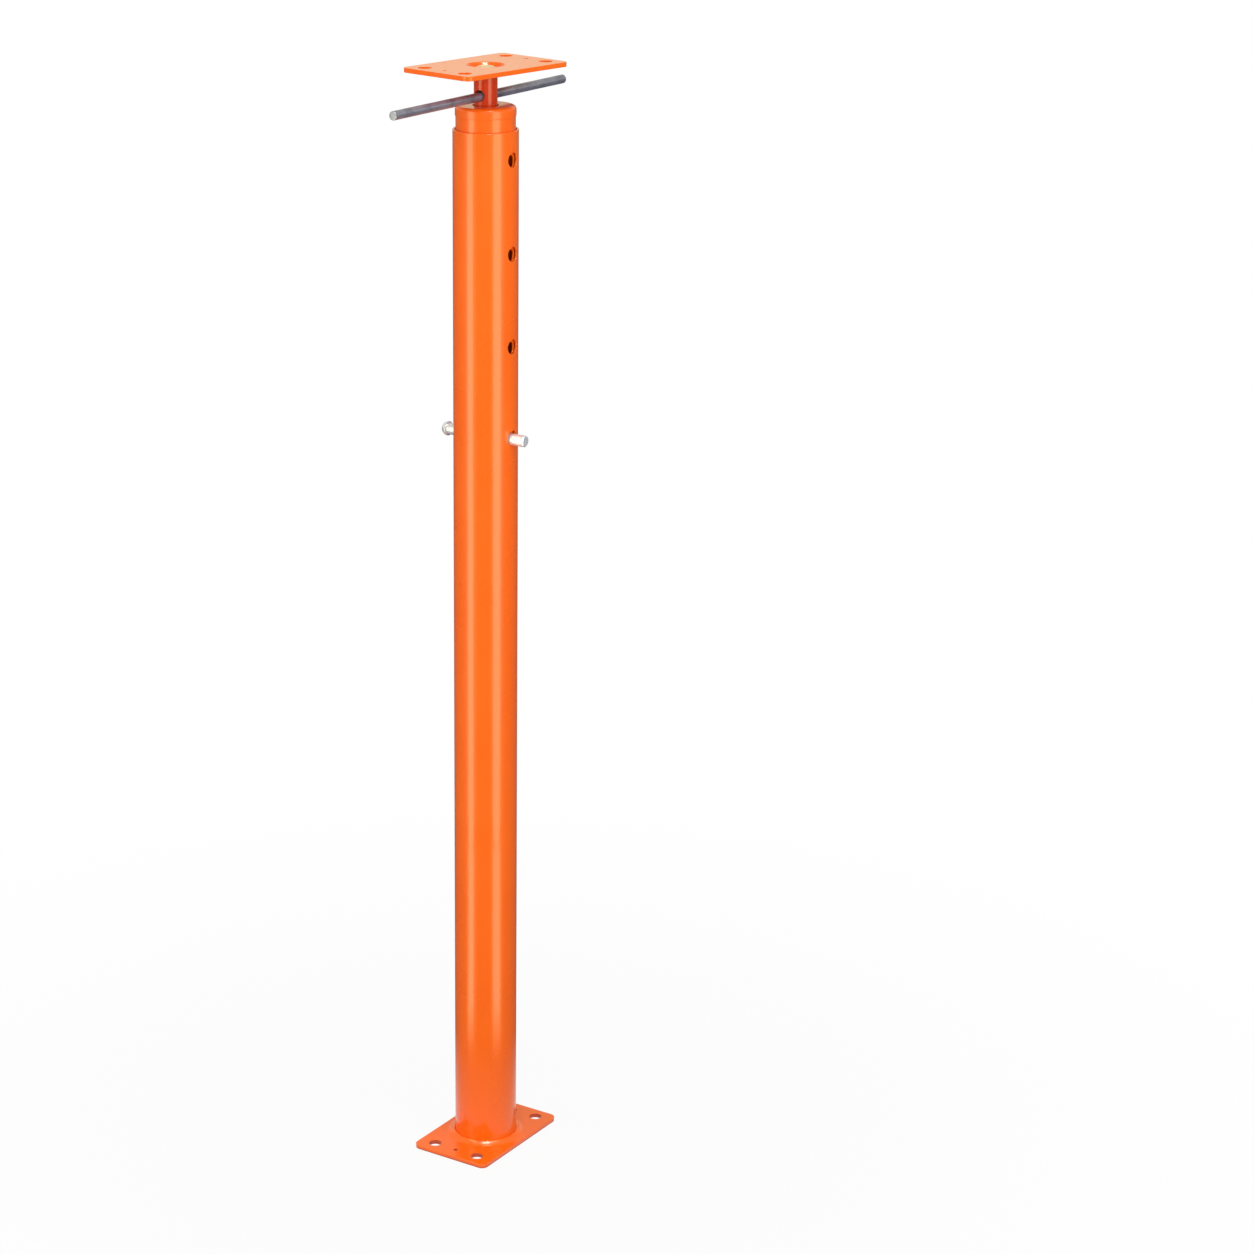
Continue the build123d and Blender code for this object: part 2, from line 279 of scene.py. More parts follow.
class StudioSettings(bpy.types.PropertyGroup):
    """Camera, lamps and surroundings."""

    azimuth: angle_property(
        "Azimuth", "Direction that the camera looks from, turned from the front", -0.974941
    )
    elevation: angle_property(
        "Elevation", "Height of the camera above the horizon, as an angle", 0.315381
    )
    distance: FloatProperty(
        name="Distance",
        description="Distance from the camera to the middle of the post",
        default=3.6,
        unit="LENGTH",
    )
    target_height: FloatProperty(
        name="Target height",
        description="Height of the point that the camera looks at",
        default=0.6178,
        unit="LENGTH",
    )
    lens: FloatProperty(
        name="Focal length",
        description="Focal length of the lens in millimetres",
        default=93.83,
    )
    shift: FloatProperty(
        name="Shift",
        description="Sideways shift that puts the post left of the middle",
        default=0.1127,
    )
    strip_radiance: level_property("Strip lamps", "Brightness of the upright strip lamps", 2.7)
    top_radiance: level_property("Top lamp", "Brightness of the lamp overhead", 0.5)
    key_radiance: level_property("Key lamp", "Brightness of the lamp above the camera", 2.6)
    fill_radiance: level_property("Fill lamp", "Brightness of the lamp beside the camera", 5.5)
    ambient: level_property("Ambient light", "Brightness of the surroundings on the object", 0.5)


def unit(vectors):
    """Each vector divided by its length."""
    vectors = np.asarray(vectors, float)
    length = np.linalg.norm(vectors, axis=-1, keepdims=True)
    return vectors / np.where(length > 0.0, length, 1.0)


def rounded_outline(points, radii, closed=True, steps=4):
    """An outline with rounded corners, and its outward normals.

    Each corner becomes an arc of its own radius that touches both sides: the arc starts at the
    radius times the tangent of half the turn before the corner, and its normal turns evenly.
    Outward is to the right of the direction of travel.
    """
    points = np.asarray(points, float)
    count = len(points)
    radii = np.broadcast_to(radii, count)
    places, normals = [], []
    for i in range(count):
        if not closed and i in (0, count - 1):
            along = unit(points[1] - points[0] if i == 0 else points[-1] - points[-2])
            places.append(points[i][None])
            normals.append(np.array([[along[1], -along[0]]]))
            continue
        before = unit(points[i] - points[i - 1])
        after = unit(points[(i + 1) % count] - points[i])
        turn = np.arctan2(before[0] * after[1] - before[1] * after[0], before @ after)
        reach = radii[i] * np.tan(abs(turn) / 2)
        angles = np.arctan2(-before[0], before[1]) + turn * np.linspace(0.0, 1.0, steps + 1)
        normal = np.stack([np.cos(angles), np.sin(angles)], axis=-1)
        side = np.sign(turn)
        centre = points[i] - before * reach - side * radii[i] * normal[0]
        places.append(centre + side * radii[i] * normal)
        normals.append(normal)
    return np.concatenate(places), np.concatenate(normals)


def arc(centre, radius, start, stop, steps, side=1.0):
    """Points on an arc, in degrees, and their normals: centre plus radius times the direction.

    The normal is that direction, or against it where side is -1, as in a hollow.
    """
    angles = np.radians(np.linspace(start, stop, steps + 1))
    direction = np.stack([np.cos(angles), np.sin(angles)], axis=-1)
    return np.asarray(centre) + radius * direction, side * direction


def chain(*parts):
    """Several (points, normals) runs as one, in order."""
    return tuple(np.concatenate(column) for column in zip(*parts))


def patch(places, normals, keep=None, flip=False):
    """A grid of points as (points, normals, quads).

    A quad's corners are its row and column, the next column, both next, and the next row, so
    its face looks along columns cross rows, or against it where flip is set.
    """
    rows, columns = places.shape[:2]
    index = np.arange(rows * columns).reshape(rows, columns)
    quads = np.stack(
        [index[:-1, :-1], index[:-1, 1:], index[1:, 1:], index[1:, :-1]], axis=-1
    )
    quads = quads.reshape(-1, 4) if keep is None else quads[keep]
    if flip:
        quads = quads[:, ::-1]
    normals = np.broadcast_to(normals, places.shape)
    return places.reshape(-1, 3), normals.reshape(-1, 3), quads


def turn_about_z(angle):
    """The 3 by 3 matrix of a turn about Z."""
    c, s = np.cos(angle), np.sin(angle)
    return np.array([[c, -s, 0.0], [s, c, 0.0], [0.0, 0.0, 1.0]])


def moved(patches, turn=None, shift=(0.0, 0.0, 0.0)):
    """Patches turned by a matrix and then shifted."""
    turn = np.eye(3) if turn is None else np.asarray(turn, float)
    return [
        (places @ turn.T + np.asarray(shift, float), normals @ turn.T, quads)
        for places, normals, quads in patches
    ]


def welded(patches):
    """One closed shell from patches that share their borders.

    Points that fall in the same cell of a fine grid become one, normals there are averaged, and
    quads that lose a corner become triangles or go. The grid's odd offset keeps round numbers
    off its borders.
    """
    places = np.concatenate([part[0] for part in patches])
    normals = np.concatenate([part[1] for part in patches])
    offsets = np.cumsum([0] + [len(part[0]) for part in patches[:-1]])
    quads = np.concatenate([part[2] + start for part, start in zip(patches, offsets)])
    keys = np.floor(places / WELD_GRID + WELD_OFFSET).astype(np.int64)
    _, first, owner = np.unique(keys, axis=0, return_index=True, return_inverse=True)
    owner = owner.reshape(-1)
    summed = np.zeros((len(first), 3))
    np.add.at(summed, owner, normals)
    quads = owner[quads]
    same = quads == np.roll(quads, -1, axis=1)
    whole = quads[~same.any(axis=1)]
    crossed = (whole[:, 0] == whole[:, 2]) | (whole[:, 1] == whole[:, 3])
    whole = whole[~crossed]
    pinched = quads[same.sum(axis=1) == 1]
    gap = same[same.sum(axis=1) == 1].argmax(axis=1)
    order = (gap[:, None] + np.array([1, 2, 3])) % 4
    triangles = np.take_along_axis(pinched, order, axis=1)
    bad = (triangles == np.roll(triangles, -1, axis=1)).any(axis=1)
    triangles = triangles[~bad]
    return places[first], unit(summed), whole, triangles


def open_edges(quads, triangles):
    """Number of edges that don't have a face on each side, running opposite ways."""
    edges = np.concatenate(
        [
            np.stack([faces, np.roll(faces, -1, axis=1)], axis=-1).reshape(-1, 2)
            for faces in (quads, triangles)
            if len(faces)
        ]
    )
    size = edges.max() + 1
    there = edges[:, 0].astype(np.int64) * size + edges[:, 1]
    back = edges[:, 1].astype(np.int64) * size + edges[:, 0]
    return int((~np.isin(there, back)).sum() + len(there) - len(np.unique(there)))


def make_piece(name, patches, body, nodes, material):
    """Put welded patches in a mesh object that rides on a body and stands for CAD nodes."""
    places, normals, quads, triangles = welded(patches)
    gaps = open_edges(quads, triangles)
    if gaps:
        raise RuntimeError(f"{name} has {gaps} open edges")
    mesh = bpy.data.meshes.new(name)
    loops = np.concatenate([quads.reshape(-1), triangles.reshape(-1)])
    starts = np.concatenate(
        [np.arange(len(quads)) * 4, len(quads) * 4 + np.arange(len(triangles)) * 3]
    )
    mesh.vertices.add(len(places))
    mesh.vertices.foreach_set("co", places.astype(np.float32).reshape(-1))
    mesh.loops.add(len(loops))
    mesh.loops.foreach_set("vertex_index", loops.astype(np.int32))
    mesh.polygons.add(len(starts))
    mesh.polygons.foreach_set("loop_start", starts.astype(np.int32))
    mesh.update(calc_edges=True)
    mesh.validate()
    mesh.polygons.foreach_set("use_smooth", np.ones(len(mesh.polygons), bool))
    mesh.normals_split_custom_set_from_vertices(normals.astype(np.float32))
    mesh.materials.append(material)
    piece = bpy.data.objects.new(name, mesh)
    bpy.context.scene.collection.objects.link(piece)
    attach(piece, body)
    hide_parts(*nodes)
    return piece


def carried_round(rows, angles):
    """Rows of (radius, height) carried round Z by x = r sin t, y = -r cos t.

    The angles are the same for all rows, or one run for each row.
    """
    radius, height = rows[:, 0, None], rows[:, 1, None]
    x = radius * np.sin(angles)
    y = -radius * np.cos(angles)
    return np.stack([x, y, np.broadcast_to(height, x.shape)], axis=-1)


def turned_shape(outline, normals, closed=True, angles=None):
    """A turned shape about Z, from an outline of (radius, height).

    A closed outline gives a ring, and an open one ends on the axis or on another patch.
    """
    if angles is None:
        angles = np.linspace(0.0, 2.0 * np.pi, STEPS_PER_TURN + 1)
    if closed:
        outline = np.concatenate([outline, outline[:1]])
        normals = np.concatenate([normals, normals[:1]])
    return patch(carried_round(outline, angles), carried_round(normals, angles))


def spread(half, parts):
    """Lines across a square cell, at half its width times the tangent of even angles.

    Seen from the cell's middle, they cut its border at even angles.
    """
    return half * np.tan(np.radians(np.linspace(-45.0, 45.0, parts + 1)))


def wall_angles(radius, half, cell_parts, side_parts):
    """Column angles round a wall that has a square cell at the front and at the back.

    The cells' columns stand at fixed x, so the angle is the arc sine of x over the radius, and
    the sides between the cells are cut evenly.
    """
    radius = np.asarray(radius, float)[:, None]
    cell = np.arcsin(spread(half, cell_parts)[None] / radius)
    edge = np.arcsin(half / radius)
    even = np.linspace(0.0, 1.0, side_parts + 1)[None]
    side = edge + (np.pi - 2.0 * edge) * even
    return np.concatenate([cell, side[:, 1:], np.pi + cell[:, 1:], np.pi + side[:, 1:]], axis=1)


def in_hole_cells(columns, cell_parts, side_parts):
    """Which of a wall's columns lie in its front or its back cell."""
    column = np.arange(columns)
    back = cell_parts + side_parts
    return (column < cell_parts) | ((column >= back) & (column < back + cell_parts))


def ring_directions(parts):
    """Even directions round a hole, starting at a corner of its square cell, as (u, w)."""
    angles = np.radians(np.linspace(0.0, 360.0, 4 * parts + 1) - 135.0)
    return np.stack([np.cos(angles), np.sin(angles)], axis=-1)


def hole_ring(flow, height, parts, front=True):
    """The rows round and through a hole in a wall.

    Flow is rows of (morph, half, radius, depth, out, in): a row lies morph of the way from the
    square cell of that half width to a circle of that radius, on the wall's circle of that
    depth. Its normal is out times the wall's own direction plus in times the direction to the
    hole's axis.
    """
    flow = np.asarray(flow, float)
    direction = ring_directions(parts)
    largest = np.abs(direction).max(axis=1, keepdims=True)
    morph, half, radius, depth, out, inward = (flow[:, i, None] for i in range(6))
    square = direction / largest
    u = (1.0 - morph) * half * square[:, 0] + morph * radius * direction[:, 0]
    w = (1.0 - morph) * half * square[:, 1] + morph * radius * direction[:, 1]
    far = np.sqrt(depth**2 - u**2) * (-1.0 if front else 1.0)
    places = np.stack([u, far, height + w], axis=-1)
    wall = np.stack([u, far, np.zeros_like(u)], axis=-1) / depth[..., None]
    to_axis = np.stack(
        [-direction[:, 0], np.zeros(len(direction)), -direction[:, 1]], axis=-1
    )
    normals = unit(out[..., None] * wall + inward[..., None] * to_axis[None])
    return places, normals


def hole_flow(half, radius, rim, outer, inner):
    """Rows from the outer cell's border over the rim, through the wall and out to the inner one."""
    morphs = (0.0, 0.4, 0.75, 1.0)
    quarter = np.radians((22.5, 45.0, 67.5, 90.0))
    rows = [(t, half, radius + rim, outer, 1.0, 0.0) for t in morphs]
    for t in quarter:
        rows.append(
            (1.0, half, radius + rim * (1 - np.sin(t)), outer - rim * (1 - np.cos(t)),
             np.cos(t), np.sin(t))
        )
    for t in quarter[::-1]:
        rows.append(
            (1.0, half, radius + rim * (1 - np.sin(t)), inner + rim * (1 - np.cos(t)),
             -np.cos(t), np.sin(t))
        )
    rows += [(t, half, radius + rim, inner, -1.0, 0.0) for t in morphs[::-1]]
    return rows


def bored_tube(outer, inner, low, high, rim, heights, hole, hole_rim, cell_parts=8, side_parts=34):
    """A tube along Z with rounded rims and straight cross holes along Y through both walls.

    Its outline runs up the outside and down the inside. Round each hole a square cell is left
    out of the grid, and rows that turn from the square into the hole's circle fill it, with
    y = the square root of the wall's radius squared less x squared.
    """
    half = TUBE_CELL * hole
    outline, normals = rounded_outline(
        [(inner, low), (outer, low), (outer, high), (inner, high)], rim, steps=3
    )
    lines = (np.asarray(heights)[:, None] + spread(half, cell_parts)[None]).reshape(-1)
    lines = np.sort(lines)
    outside = np.stack([np.full(len(lines), outer), lines], axis=-1)
    inside = np.stack([np.full(len(lines), inner), lines[::-1]], axis=-1)
    corners = np.split(outline, 4)
    turns = np.split(normals, 4)
    run = [
        (corners[1], turns[1]),
        (outside, np.tile((1.0, 0.0), (len(lines), 1))),
        (corners[2], turns[2]),
        (corners[3], turns[3]),
        (inside, np.tile((-1.0, 0.0), (len(lines), 1))),
        (corners[0], turns[0]),
        (corners[1][:1], turns[1][:1]),
    ]
    outline, normals = chain(*run)
    angles = wall_angles(outline[:, 0], half, cell_parts, side_parts)
    middles = (outline[:-1, 1] + outline[1:, 1]) / 2
    near_hole = (np.abs(middles[:, None] - np.asarray(heights)[None]) < half).any(axis=1)
    straight = np.abs(outline[1:, 0] - outline[:-1, 0]) < SAME_PLACE
    in_cell = in_hole_cells(angles.shape[1] - 1, cell_parts, side_parts)
    keep = ~((near_hole & straight)[:, None] & in_cell[None])
    parts = [patch(carried_round(outline, angles), carried_round(normals, angles), keep)]
    flow = hole_flow(half, hole, hole_rim, outer, inner)
    for z in heights:
        for front in (True, False):
            parts.append(patch(*hole_ring(flow, z, cell_parts, front), flip=not front))
    return parts


def bored_shank(radius, low, high, height, hole, rim, cell_parts=8, side_parts=22):
    """A solid shank from low to high with one cross hole along Y right through it.

    Gives its patches and the column angles, so that the thread and the tenon can join it.
    """
    half = SHANK_CELL * hole
    lines = np.concatenate([[low], height + spread(half, cell_parts), [high]])
    angles = wall_angles(np.full(1, radius), half, cell_parts, side_parts)[0]
    places = np.stack(
        np.broadcast_arrays(radius * np.sin(angles), -radius * np.cos(angles), lines[:, None]),
        axis=-1,
    )
    directions = places * np.array([1.0, 1.0, 0.0]) / radius
    near_hole = np.abs((lines[:-1] + lines[1:]) / 2 - height) < half
    in_cell = in_hole_cells(len(angles) - 1, cell_parts, side_parts)
    keep = ~(near_hole[:, None] & in_cell[None])
    front, rear = np.split(np.array(hole_flow(half, hole, rim, radius, radius)), 2)
    depth, out = 3, 4
    rear[:, depth] = radius - (rear[:, depth] - radius)
    rear[:, out] = -rear[:, out]
    front_places, front_normals = hole_ring(front, height, cell_parts, True)
    rear_places, rear_normals = hole_ring(rear, height, cell_parts, False)
    through = patch(
        np.concatenate([front_places, rear_places]),
        np.concatenate([front_normals, rear_normals]),
    )
    return [patch(places, directions, keep), through], angles


def threaded_rod(root, low, high, sizes, start, angles, first_azimuth):
    """A right-hand thread: height = s + pitch x azimuth / one turn, radius = the profile at s.

    The profile is a trapezoid that repeats every pitch. It fades to the root at both ends, where
    heights are held to the end, and the seam closes one pitch higher.
    """
    half_crest = sizes.crest_width / 2
    half_root = half_crest + sizes.thread_depth * np.tan(sizes.flank_angle)
    crest = root + sizes.thread_depth
    half_pitch = sizes.pitch / 2
    profile, slopes = rounded_outline(
        [
            (root, -half_pitch),
            (root, -half_root),
            (crest, -half_crest),
            (crest, half_crest),
            (root, half_root),
            (root, half_pitch),
        ],
        sizes.thread_corner,
        closed=False,
        steps=2,
    )
    profile, slopes = profile[:-1], slopes[:-1]
    spare_turns = 2
    turns = np.arange(-spare_turns, int(np.ceil((high - low) / sizes.pitch)) + spare_turns + 1)
    s = (start + turns[:, None] * sizes.pitch + profile[None, :, 1]).reshape(-1, 1)
    bulge = np.tile(profile[:, 0] - root, len(turns))[:, None]
    across = np.tile(slopes[:, 0], len(turns))[:, None]
    up = np.tile(slopes[:, 1], len(turns))[:, None]
    azimuth = first_azimuth + (angles - angles[0])
    z = np.clip(s + sizes.pitch * azimuth[None] / (2 * np.pi), low, high)
    fade = np.clip(np.minimum(z - low, high - z) / sizes.runout, 0.0, 1.0)
    fade = fade * fade * (3.0 - 2.0 * fade)
    radius = root + bulge * fade
    sine, cosine = np.sin(angles)[None], np.cos(angles)[None]
    places = np.stack([radius * sine, -radius * cosine, z], axis=-1)
    rise = fade * up
    drift = -rise * sizes.pitch / (2 * np.pi * radius)
    directions = unit(
        np.stack(
            [across * sine + drift * cosine, -across * cosine + drift * sine, rise], axis=-1
        )
    )
    return patch(places, directions)


def drilled_plate(half_long, half_wide, corner, edge, thickness, wells):
    """A flat plate with rounded corners and edges, and wells that go through it.

    Its faces are a grid of lines across both ways. In a corner block a point (u, v) of the unit
    square moves to the larger of u and v times its direction, which rounds the corner. Each
    well is (x, y, half cell, parts, outline, normals): a square cell is left out, and rows turn
    it into a circle, follow the outline from the top face to the underside, and turn back.
    """
    block = np.array([half_long - corner, half_wide - corner])
    inset = np.array([half_long - edge, half_wide - edge])
    bend = corner - edge
    corner_lines = 8
    quarter = np.tan(np.radians(np.linspace(0.0, 45.0, corner_lines))) * bend
    lines = []
    for axis in (0, 1):
        found = [block[axis] + quarter, -block[axis] - quarter]
        found += [well[axis] + spread(well[2], well[3]) for well in wells]
        found = np.sort(np.concatenate(found))
        lines.append(found[np.concatenate([[True], np.diff(found) > SAME_LINE])])
    xs, ys = lines

    def bent(x, y):
        u = (np.abs(x) - block[0]) / bend
        v = (np.abs(y) - block[1]) / bend
        inside = (u > 0.0) & (v > 0.0)
        scale = np.where(inside, np.maximum(u, v) / np.maximum(np.hypot(u, v), 1e-12), 1.0)
        new_x = np.where(inside, np.sign(x) * (block[0] + bend * u * scale), x)
        new_y = np.where(inside, np.sign(y) * (block[1] + bend * v * scale), y)
        return new_x, new_y

    grid_x, grid_y = np.meshgrid(xs, ys)
    grid_x, grid_y = bent(grid_x, grid_y)
    mid_x, mid_y = (xs[:-1] + xs[1:]) / 2, (ys[:-1] + ys[1:]) / 2
    keep = np.ones((len(mid_y), len(mid_x)), bool)
    for x, y, half, _, _, _ in wells:
        keep &= ~(
            (np.abs(mid_y - y) < half)[:, None] & (np.abs(mid_x - x) < half)[None]
        )
    faces = []
    for z, up in ((thickness, 1.0), (0.0, -1.0)):
        places = np.stack([grid_x, grid_y, np.full_like(grid_x, z)], axis=-1)
        faces.append(patch(places, np.array([0.0, 0.0, up]), keep, flip=up < 0.0))
    for x, y, half, _, outline, normals in wells:
        faces.append(well_patch(x, y, half, outline, normals, thickness, xs, ys, bent))
    border = border_loop(xs, ys, 0.0, 0.0, inset)
    u = np.maximum(np.abs(border[:, 0]) - block[0], 0.0)
    v = np.maximum(np.abs(border[:, 1]) - block[1], 0.0)
    on_side = np.abs(np.abs(border[:, 0]) - inset[0]) < ON_BORDER
    on_end = np.abs(np.abs(border[:, 1]) - inset[1]) < ON_BORDER
    out = unit(
        np.stack(
            [np.sign(border[:, 0]) * np.where(on_side, bend, np.where(on_end, u, 0.0)),
             np.sign(border[:, 1]) * np.where(on_end, bend, np.where(on_side, v, 0.0))],
            axis=-1,
        )
    )
    loop_x, loop_y = bent(border[:, 0], border[:, 1])
    rows = 5
    turn = np.radians(np.concatenate([np.linspace(0, 90, rows), np.linspace(90, 180, rows)]))
    sine, cosine = np.sin(turn)[:, None], np.cos(turn)[:, None]
    height = np.concatenate(
        [thickness - edge * (1 - cosine[:rows]), edge * (1 + cosine[rows:])]
    )
    places = np.stack(
        [loop_x + out[:, 0] * edge * sine, loop_y + out[:, 1] * edge * sine,
         np.broadcast_to(height, (len(turn), len(loop_x)))],
        axis=-1,
    )
    directions = np.stack(
        [out[:, 0] * sine, out[:, 1] * sine, np.broadcast_to(cosine, places.shape[:2])], axis=-1
    )
    faces.append(patch(places, directions, flip=True))
    return faces


def border_loop(xs, ys, x, y, half):
    """The grid points round a rectangle's border, anticlockwise and closed."""
    reach = np.broadcast_to(half, 2) + ON_BORDER
    across = xs[np.abs(xs - x) < reach[0]]
    along = ys[np.abs(ys - y) < reach[1]]
    return np.concatenate(
        [
            np.stack([across, np.full(len(across), along[0])], axis=-1)[:-1],
            np.stack([np.full(len(along), across[-1]), along], axis=-1)[:-1],
            np.stack([across[::-1], np.full(len(across), along[-1])], axis=-1)[:-1],
            np.stack([np.full(len(along), across[0]), along[::-1]], axis=-1),
        ]
    )


def well_patch(x, y, half, outline, normals, thickness, xs, ys, bent):
    """Rows from a square cell's border on the top face, through the plate, to the one below."""
    border = border_loop(xs, ys, x, y, half) - np.array([x, y])
    direction = unit(border)
    morph = np.array([0.0, 0.35, 0.7])[:, None, None]
    steps = len(morph)
    top = (1 - morph) * border + morph * outline[0, 0] * direction
    low = ((1 - morph) * border + morph * outline[-1, 0] * direction)[::-1]
    middle = outline[:, 0, None, None] * direction
    flat = np.concatenate([top, middle, low])
    height = np.concatenate([np.full(steps, thickness), outline[:, 1], np.zeros(steps)])[:, None]
    px, py = bent(flat[..., 0] + x, flat[..., 1] + y)
    places = np.stack([px, py, np.broadcast_to(height, px.shape)], axis=-1)
    level = np.zeros(steps)
    across = np.concatenate([level, normals[:, 0], level])[:, None, None] * direction
    up = np.concatenate([np.ones(steps), normals[:, 1], -np.ones(steps)])[:, None]
    directions = np.concatenate(
        [across, np.broadcast_to(up, px.shape)[..., None]], axis=-1
    )
    return patch(places, directions)


def round_hole(radius, edge, thickness):
    """Outline of a plain drilled hole, from the top face to the underside."""
    wide = radius + 2 * edge
    return rounded_outline(
        [(wide, thickness), (radius, thickness), (radius, 0.0), (wide, 0.0)],
        edge,
        closed=False,
        steps=3,
    )


def plate_holes(sizes):
    """The bolt and nail holes that both plates share, as wells."""
    bolt_cell, bolt_parts = 8.6 * MM, 10
    nail_cell, nail_parts = 3.6 * MM, 6
    bolts = mounts["base_bolts"]["dims"]
    nails = mounts["base_nails"]["dims"]
    bolt = round_hole(bolts["hole_r_mm"] * MM, sizes.hole_edge, sizes.thickness)
    nail = round_hole(nails["hole_r_mm"] * MM, sizes.hole_edge, sizes.thickness)
    wells = []
    for x in (-0.5, 0.5):
        for y in (-0.5, 0.5):
            place = (x * bolts["spacing_x_mm"] * MM, y * bolts["spacing_y_mm"] * MM)
            wells.append((*place, bolt_cell, bolt_parts, *bolt))
        wells.append((x * nails["spacing_x_mm"] * MM, 0.0, nail_cell, nail_parts, *nail))
    return wells


def node_tree(name):
    """A new material with an empty node tree, and its principled shader joined to the output."""
    material = bpy.data.materials.new(name)
    material.use_nodes = True
    tree = material.node_tree
    tree.nodes.clear()
    output = tree.nodes.new("ShaderNodeOutputMaterial")
    output.location = (900, 0)
    shader = tree.nodes.new("ShaderNodeBsdfPrincipled")
    shader.location = (600, 0)
    tree.links.new(shader.outputs["BSDF"], output.inputs["Surface"])
    return material, tree, shader


def noise(tree, coordinates, scale, detail=2.0, roughness=0.5, kind="ShaderNodeTexNoise"):
    """A noise texture on the given coordinates, or one of another kind."""
    node = tree.nodes.new(kind)
    node.inputs["Scale"].default_value = scale
    if kind == "ShaderNodeTexNoise":
        node.inputs["Detail"].default_value = detail
        node.inputs["Roughness"].default_value = roughness
    tree.links.new(coordinates, node.inputs["Vector"])
    return node


def remap(tree, value, given, wanted):
    """A value's given range stretched onto the wanted one, and held at its ends."""
    node = tree.nodes.new("ShaderNodeMapRange")
    node.inputs["From Min"].default_value, node.inputs["From Max"].default_value = given
    node.inputs["To Min"].default_value, node.inputs["To Max"].default_value = wanted
    tree.links.new(value, node.inputs["Value"])
    return node.outputs["Result"]


def scalar_step(tree, operation, first, second):
    """One sum on two sockets."""
    node = tree.nodes.new("ShaderNodeMath")
    node.operation = operation
    tree.links.new(first, node.inputs[0])
    tree.links.new(second, node.inputs[1])
    return node.outputs[0]


def vector_step(tree, operation, value, other=None):
    """One vector operation on a socket, with a constant where one is given."""
    node = tree.nodes.new("ShaderNodeVectorMath")
    node.operation = operation
    tree.links.new(value, node.inputs[0])
    if other is not None:
        node.inputs[1].default_value = other
    plain = operation in ("LENGTH", "DOT_PRODUCT")
    return node.outputs["Value" if plain else "Vector"]


def feed(tree, socket, value):
    """Link a socket to another one, or set it to a plain value."""
    if isinstance(value, bpy.types.NodeSocket):
        tree.links.new(value, socket)
    else:
        socket.default_value = value


def value_mix(tree, factor, first, second):
    """A mix of two values, each a socket or a number."""
    node = tree.nodes.new("ShaderNodeMix")
    tree.links.new(factor, node.inputs[0])
    feed(tree, node.inputs[2], first)
    feed(tree, node.inputs[3], second)
    return node.outputs[0]


def colour_mix(tree, factor, first, second):
    """A mix of two colours, each a socket or three values."""
    node = tree.nodes.new("ShaderNodeMix")
    node.data_type = "RGBA"
    tree.links.new(factor, node.inputs[0])
    for socket, colour in ((node.inputs[6], first), (node.inputs[7], second)):
        linked = isinstance(colour, bpy.types.NodeSocket)
        feed(tree, socket, colour if linked else (*colour, 1.0))
    return node.outputs[2]


def bump(tree, shader, height, strength, distance, below=None):
    """A bump node under the shader's normal, on top of another where one is given."""
    node = tree.nodes.new("ShaderNodeBump")
    node.inputs["Strength"].default_value = strength
    node.inputs["Distance"].default_value = distance
    tree.links.new(height, node.inputs["Height"])
    if below is not None:
        tree.links.new(below, node.inputs["Normal"])
    tree.links.new(node.outputs["Normal"], shader.inputs["Normal"])
    return node.outputs["Normal"]


def object_coordinates(tree, stretch=(1.0, 1.0, 1.0)):
    """Object coordinates, stretched along the axes."""
    source = tree.nodes.new("ShaderNodeTexCoord")
    mapping = tree.nodes.new("ShaderNodeMapping")
    mapping.inputs["Scale"].default_value = stretch
    tree.links.new(source.outputs["Object"], mapping.inputs["Vector"])
    return mapping.outputs["Vector"]


def painted_shade_places(tree):
    """Where shade is painted into the base plate's coat: in its holes, and along its lower edge.

    The holes lie in mirrored pairs, so a point's distance from the nearest hole's axis is the
    length of (|x| - hole x, |y| - hole y).
    """
    place = tree.nodes.new("ShaderNodeTexCoord").outputs["Object"]
    height = vector_step(tree, "DOT_PRODUCT", place, UP)
    lower_edge = (0.6 * MM, 2.4 * MM)
    into_wall = (0.08 * MM, 0.3 * MM)
    # Painted shade along the plate's lower edge, darkest at the floor and gone a little above it.
    painted_shade = remap(tree, height, lower_edge, (1.0, 0.0))
    for mount in ("base_bolts", "base_nails"):
        dims = mounts[mount]["dims"]
        centre = np.array([dims["spacing_x_mm"], dims.get("spacing_y_mm", 0.0), 0.0]) / 2 * MM
        offset = vector_step(tree, "SUBTRACT", vector_step(tree, "ABSOLUTE", place), centre)
        level = vector_step(tree, "MULTIPLY", offset, (1.0, 1.0, 0.0))
        wall = dims["hole_r_mm"] * MM
        reach = tuple(wall + depth for depth in into_wall)
        # Painted shade on the hole walls, fading out a little way into the plate from each wall.
        near = remap(tree, vector_step(tree, "LENGTH", level), reach, (1.0, 0.0))
        painted_shade = scalar_step(tree, "MAXIMUM", painted_shade, near)
    return painted_shade


